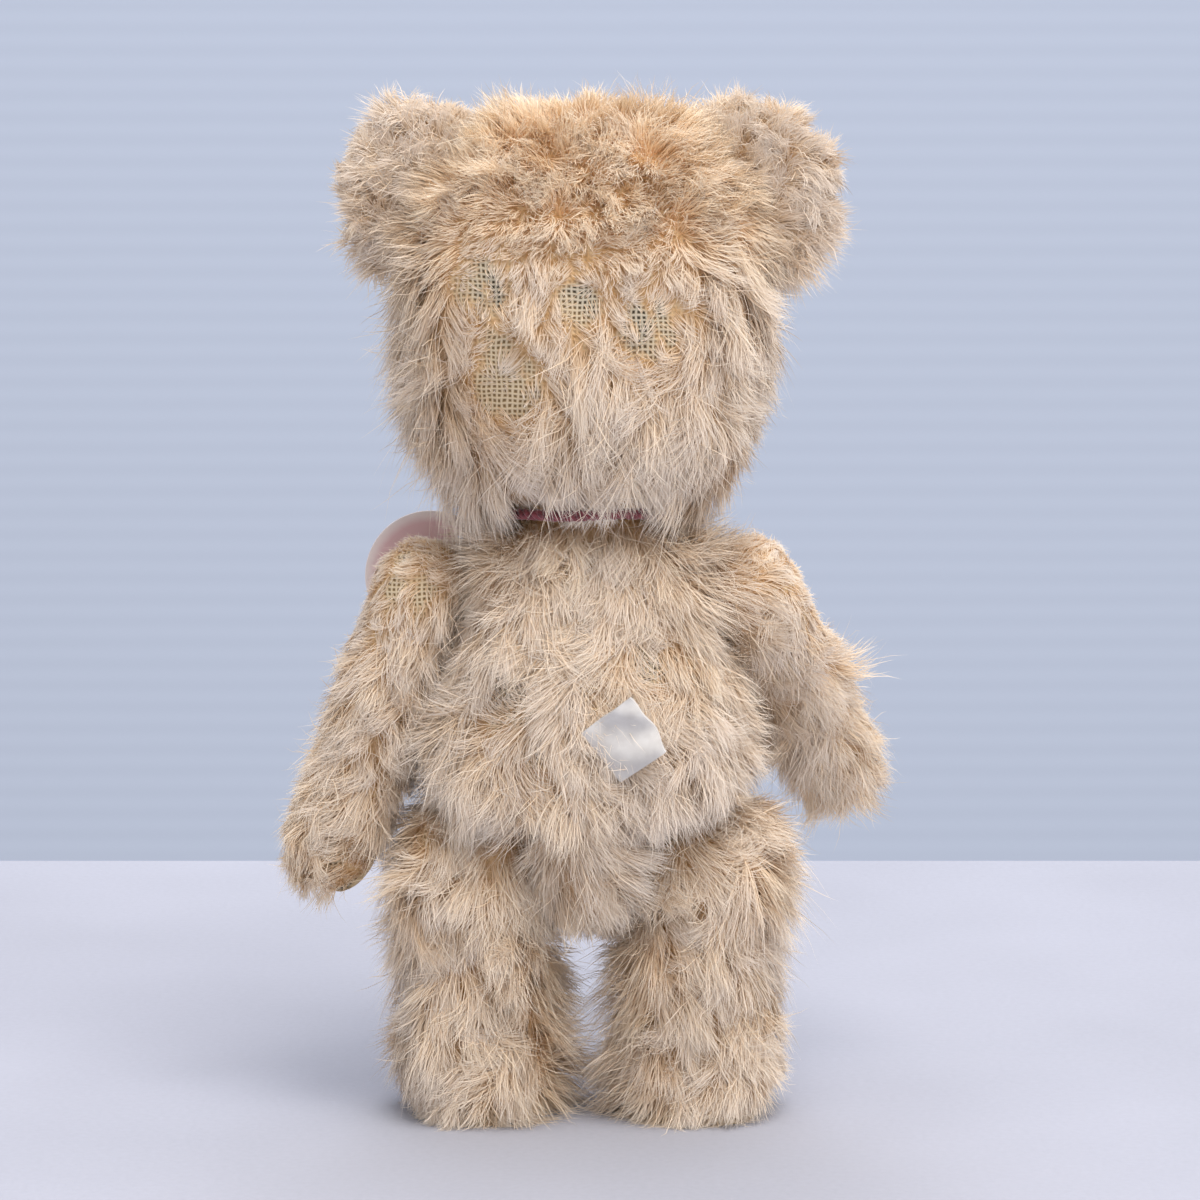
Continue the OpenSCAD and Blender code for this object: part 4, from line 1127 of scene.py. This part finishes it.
# the plies come undone at the cut ends of the bow
draw = np.random.default_rng(7)
fringe = []
for way in (-1, 1):
    end = knot + np.array([way * MM * (5.5 + 0.9 * math.sin(5)),
                           -MM * (3.6 - 0.6 * math.sin(4 + way)), -MM - bow_deep * 0.93])
    for _ in range(26):
        spread = draw.normal(0, 0.35, 3) * MM
        down = np.array([0, 0, -draw.uniform(0.6, 1.3) * MM])
        fringe.append(np.array([
            end + spread * 0.5, end + spread + 0.5 * down, end + 1.7 * spread + down]))
ends = tube("cord_bow_fringe", fringe, 0.07 * MM, cord_yarn, sides=2)
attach(ends, "torso")

# ---------------------------------------------------------------- swing tag
# A round tag punched from pink card hangs on a cotton thread from the neck cord, over the
# left shoulder. Its cut edge is paler. Nothing is printed on it.

card, shader = new_material("uncoated pink card", Roughness=0.75)
tag_low, tag_high = (Vector(c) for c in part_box("swing_tag"))
tag_middle = (tag_low + tag_high) / 2
tag_r = (tag_high.x - tag_low.x) / 2
coords = add_node(card, "ShaderNodeTexCoord").outputs["Object"]
off = add_node(card, "ShaderNodeVectorMath", {"operation": "DISTANCE"}, {
    0: coords, 1: tuple(tag_middle)})
rim_share = add_node(card, "ShaderNodeMath", {"operation": "DIVIDE"}, {
    0: off.outputs["Value"], 1: tag_r})
worn_share = add_node(card, "ShaderNodeMath", {"operation": "MULTIPLY_ADD"}, {
    0: mottle(card, 900.0, Detail=4.0), 1: 0.04, 2: rim_share.outputs[0]})
colour_by(card, shader, worn_share.outputs[0],
          [(0.0, "EFCFD0"), (0.84, "EAC5C8"), (0.93, "F6E4E3"), (1.0, "FBF0EE")])



def card_round(radius, thick, middle, sides):
    """A flat round that faces front and back."""
    bpy.ops.mesh.primitive_cylinder_add(
        vertices=sides, radius=radius, depth=thick, location=middle,
        rotation=(math.radians(90), 0, 0))
    bpy.ops.object.transform_apply(location=True, rotation=True, scale=True)
    return bpy.context.object


deselect()
tag = card_round(tag_r, tag_high.y - tag_low.y, tag_middle, 96)
tag.name = "swing_tag_card"
# the punched hole is near the edge, on the side of the neck
HOLE_TURN = math.radians(42)
HOLE_OUT = 0.77                     # share of the tag's radius
HOLE_R = 1.1 * MM
hole = tag_middle + HOLE_OUT * tag_r * Vector((-math.sin(HOLE_TURN), 0, math.cos(HOLE_TURN)))
punch = card_round(HOLE_R, 4 * MM, hole, 32)
apply_modifier(tag, "BOOLEAN", operation="DIFFERENCE", object=punch)
bpy.data.objects.remove(punch)
apply_modifier(tag, "BEVEL", width=0.12 * MM, segments=2, limit_method="ANGLE")
tag.data.materials.clear()
tag.data.materials.append(card)
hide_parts("swing_tag")

cotton, shader = new_material("waxed cotton thread", Roughness=0.7)
colour_by(cotton, shader, mottle(cotton, 1500.0), [(0.3, "B08F62"), (0.7, "E0C699")])
made_of("back_closing_stitches", cotton)

HANG = math.radians(-44)            # where on the neck cord the tag hangs
THREAD_LOOP_R = 1.65 * MM
THREAD_SLACK = 1.2 * MM
up = np.array((hole - tag_middle).normalized())
hole = np.array(hole)
skyward = np.array([0, 0, 1.0])
forward = np.array([0, 1.0, 0])
radial = np.array([math.cos(HANG), math.sin(HANG), 0])
top = np.array(ring_middle) + ring_r * radial + 1.2 * MM * math.sin(HANG) * skyward


def thread_ring(middle, radius, first, second):
    """A closed ring of thread in the plane of two directions."""
    a = np.linspace(0, 2 * math.pi, 33)[:-1, None]
    line = middle + radius * (first * np.cos(a) + second * np.sin(a))
    return np.vstack([line, line[:1]])


through = thread_ring(hole + up * THREAD_LOOP_R, THREAD_LOOP_R, up, forward)
over = thread_ring(top, cord_r + 0.35 * MM, radial, skyward)
start = top + (cord_r + 0.35 * MM) * unit(radial - skyward)
finish = hole + 2 * THREAD_LOOP_R * up
steps = np.linspace(0, 1, 14)[:, None]
drop = start + (finish - start) * steps - THREAD_SLACK * skyward * np.sin(math.pi * steps)
tag_string = tube("tag_thread_loops", [through, over, drop], 0.28 * MM, cotton)
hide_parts("tag_thread")
for piece in (tag, tag_string):
    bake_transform(piece)

# ---------------------------------------------------------------- label
# A short length of white satin tape, folded in half, was caught in the back seam. It has
# gone limp and grey-white, and the fur lies over its lower corner. Nothing is woven into it.

satin, shader = new_material("limp white satin tape", Roughness=0.5)
shader.inputs["Sheen Weight"].default_value = 0.3
colour_by(satin, shader, mottle(satin, 300.0, Detail=4.0),
          [(0.3, "CFCBC8"), (0.5, "DEDBD8"), (0.75, "EEECEA")])

corners = np.array([v.co for v in nodes["label_tab"].data.vertices])
seam_low, seam_high = corners[corners[:, 2].argmin()], corners[corners[:, 0].argmax()]
fold_low, fold_high = corners[corners[:, 0].argmin()], corners[corners[:, 2].argmax()]
columns, rows = 25, 34
grid = []
plane = unit(np.cross(seam_high - seam_low, fold_low - seam_low))
plane = plane if plane[1] > 0 else -plane
for r in range(rows):
    v = r / (rows - 1) * 2
    out, layer = (v, 1) if v <= 1 else (2 - v, -1)
    gap = 0.35 * MM * (1 - max(0.0, (out - 0.9) / 0.1) ** 2) * layer
    for c in range(columns):
        u = c / (columns - 1)
        low_edge = (1 - out) * seam_low + out * fold_low
        high_edge = (1 - out) * seam_high + out * fold_high
        flat = (1 - u) * low_edge + u * high_edge
        crease = 0.7 * math.sin(5.0 * u + 2.2 * out) * out + 0.4 * math.sin(11 * u * out + 1)
        curl = 1.1 * out * out * (0.4 + u)
        grid.append(flat + plane * (gap + MM * (crease - curl + 0.3)))
faces = [(r * columns + c, r * columns + c + 1, (r + 1) * columns + c + 1, (r + 1) * columns + c)
         for r in range(rows - 1) for c in range(columns - 1)]
mesh = bpy.data.meshes.new("label_tape")
mesh.from_pydata([tuple(p) for p in grid], [], faces)
label = new_object("label_tape", mesh)
select_only(label)
apply_modifier(label, "SOLIDIFY", thickness=0.18 * MM, offset=0)
normals_outward()
bpy.ops.object.shade_smooth_by_angle(angle=math.radians(50))
label.data.materials.append(satin)
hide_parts("label_tab")
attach(label, "torso")
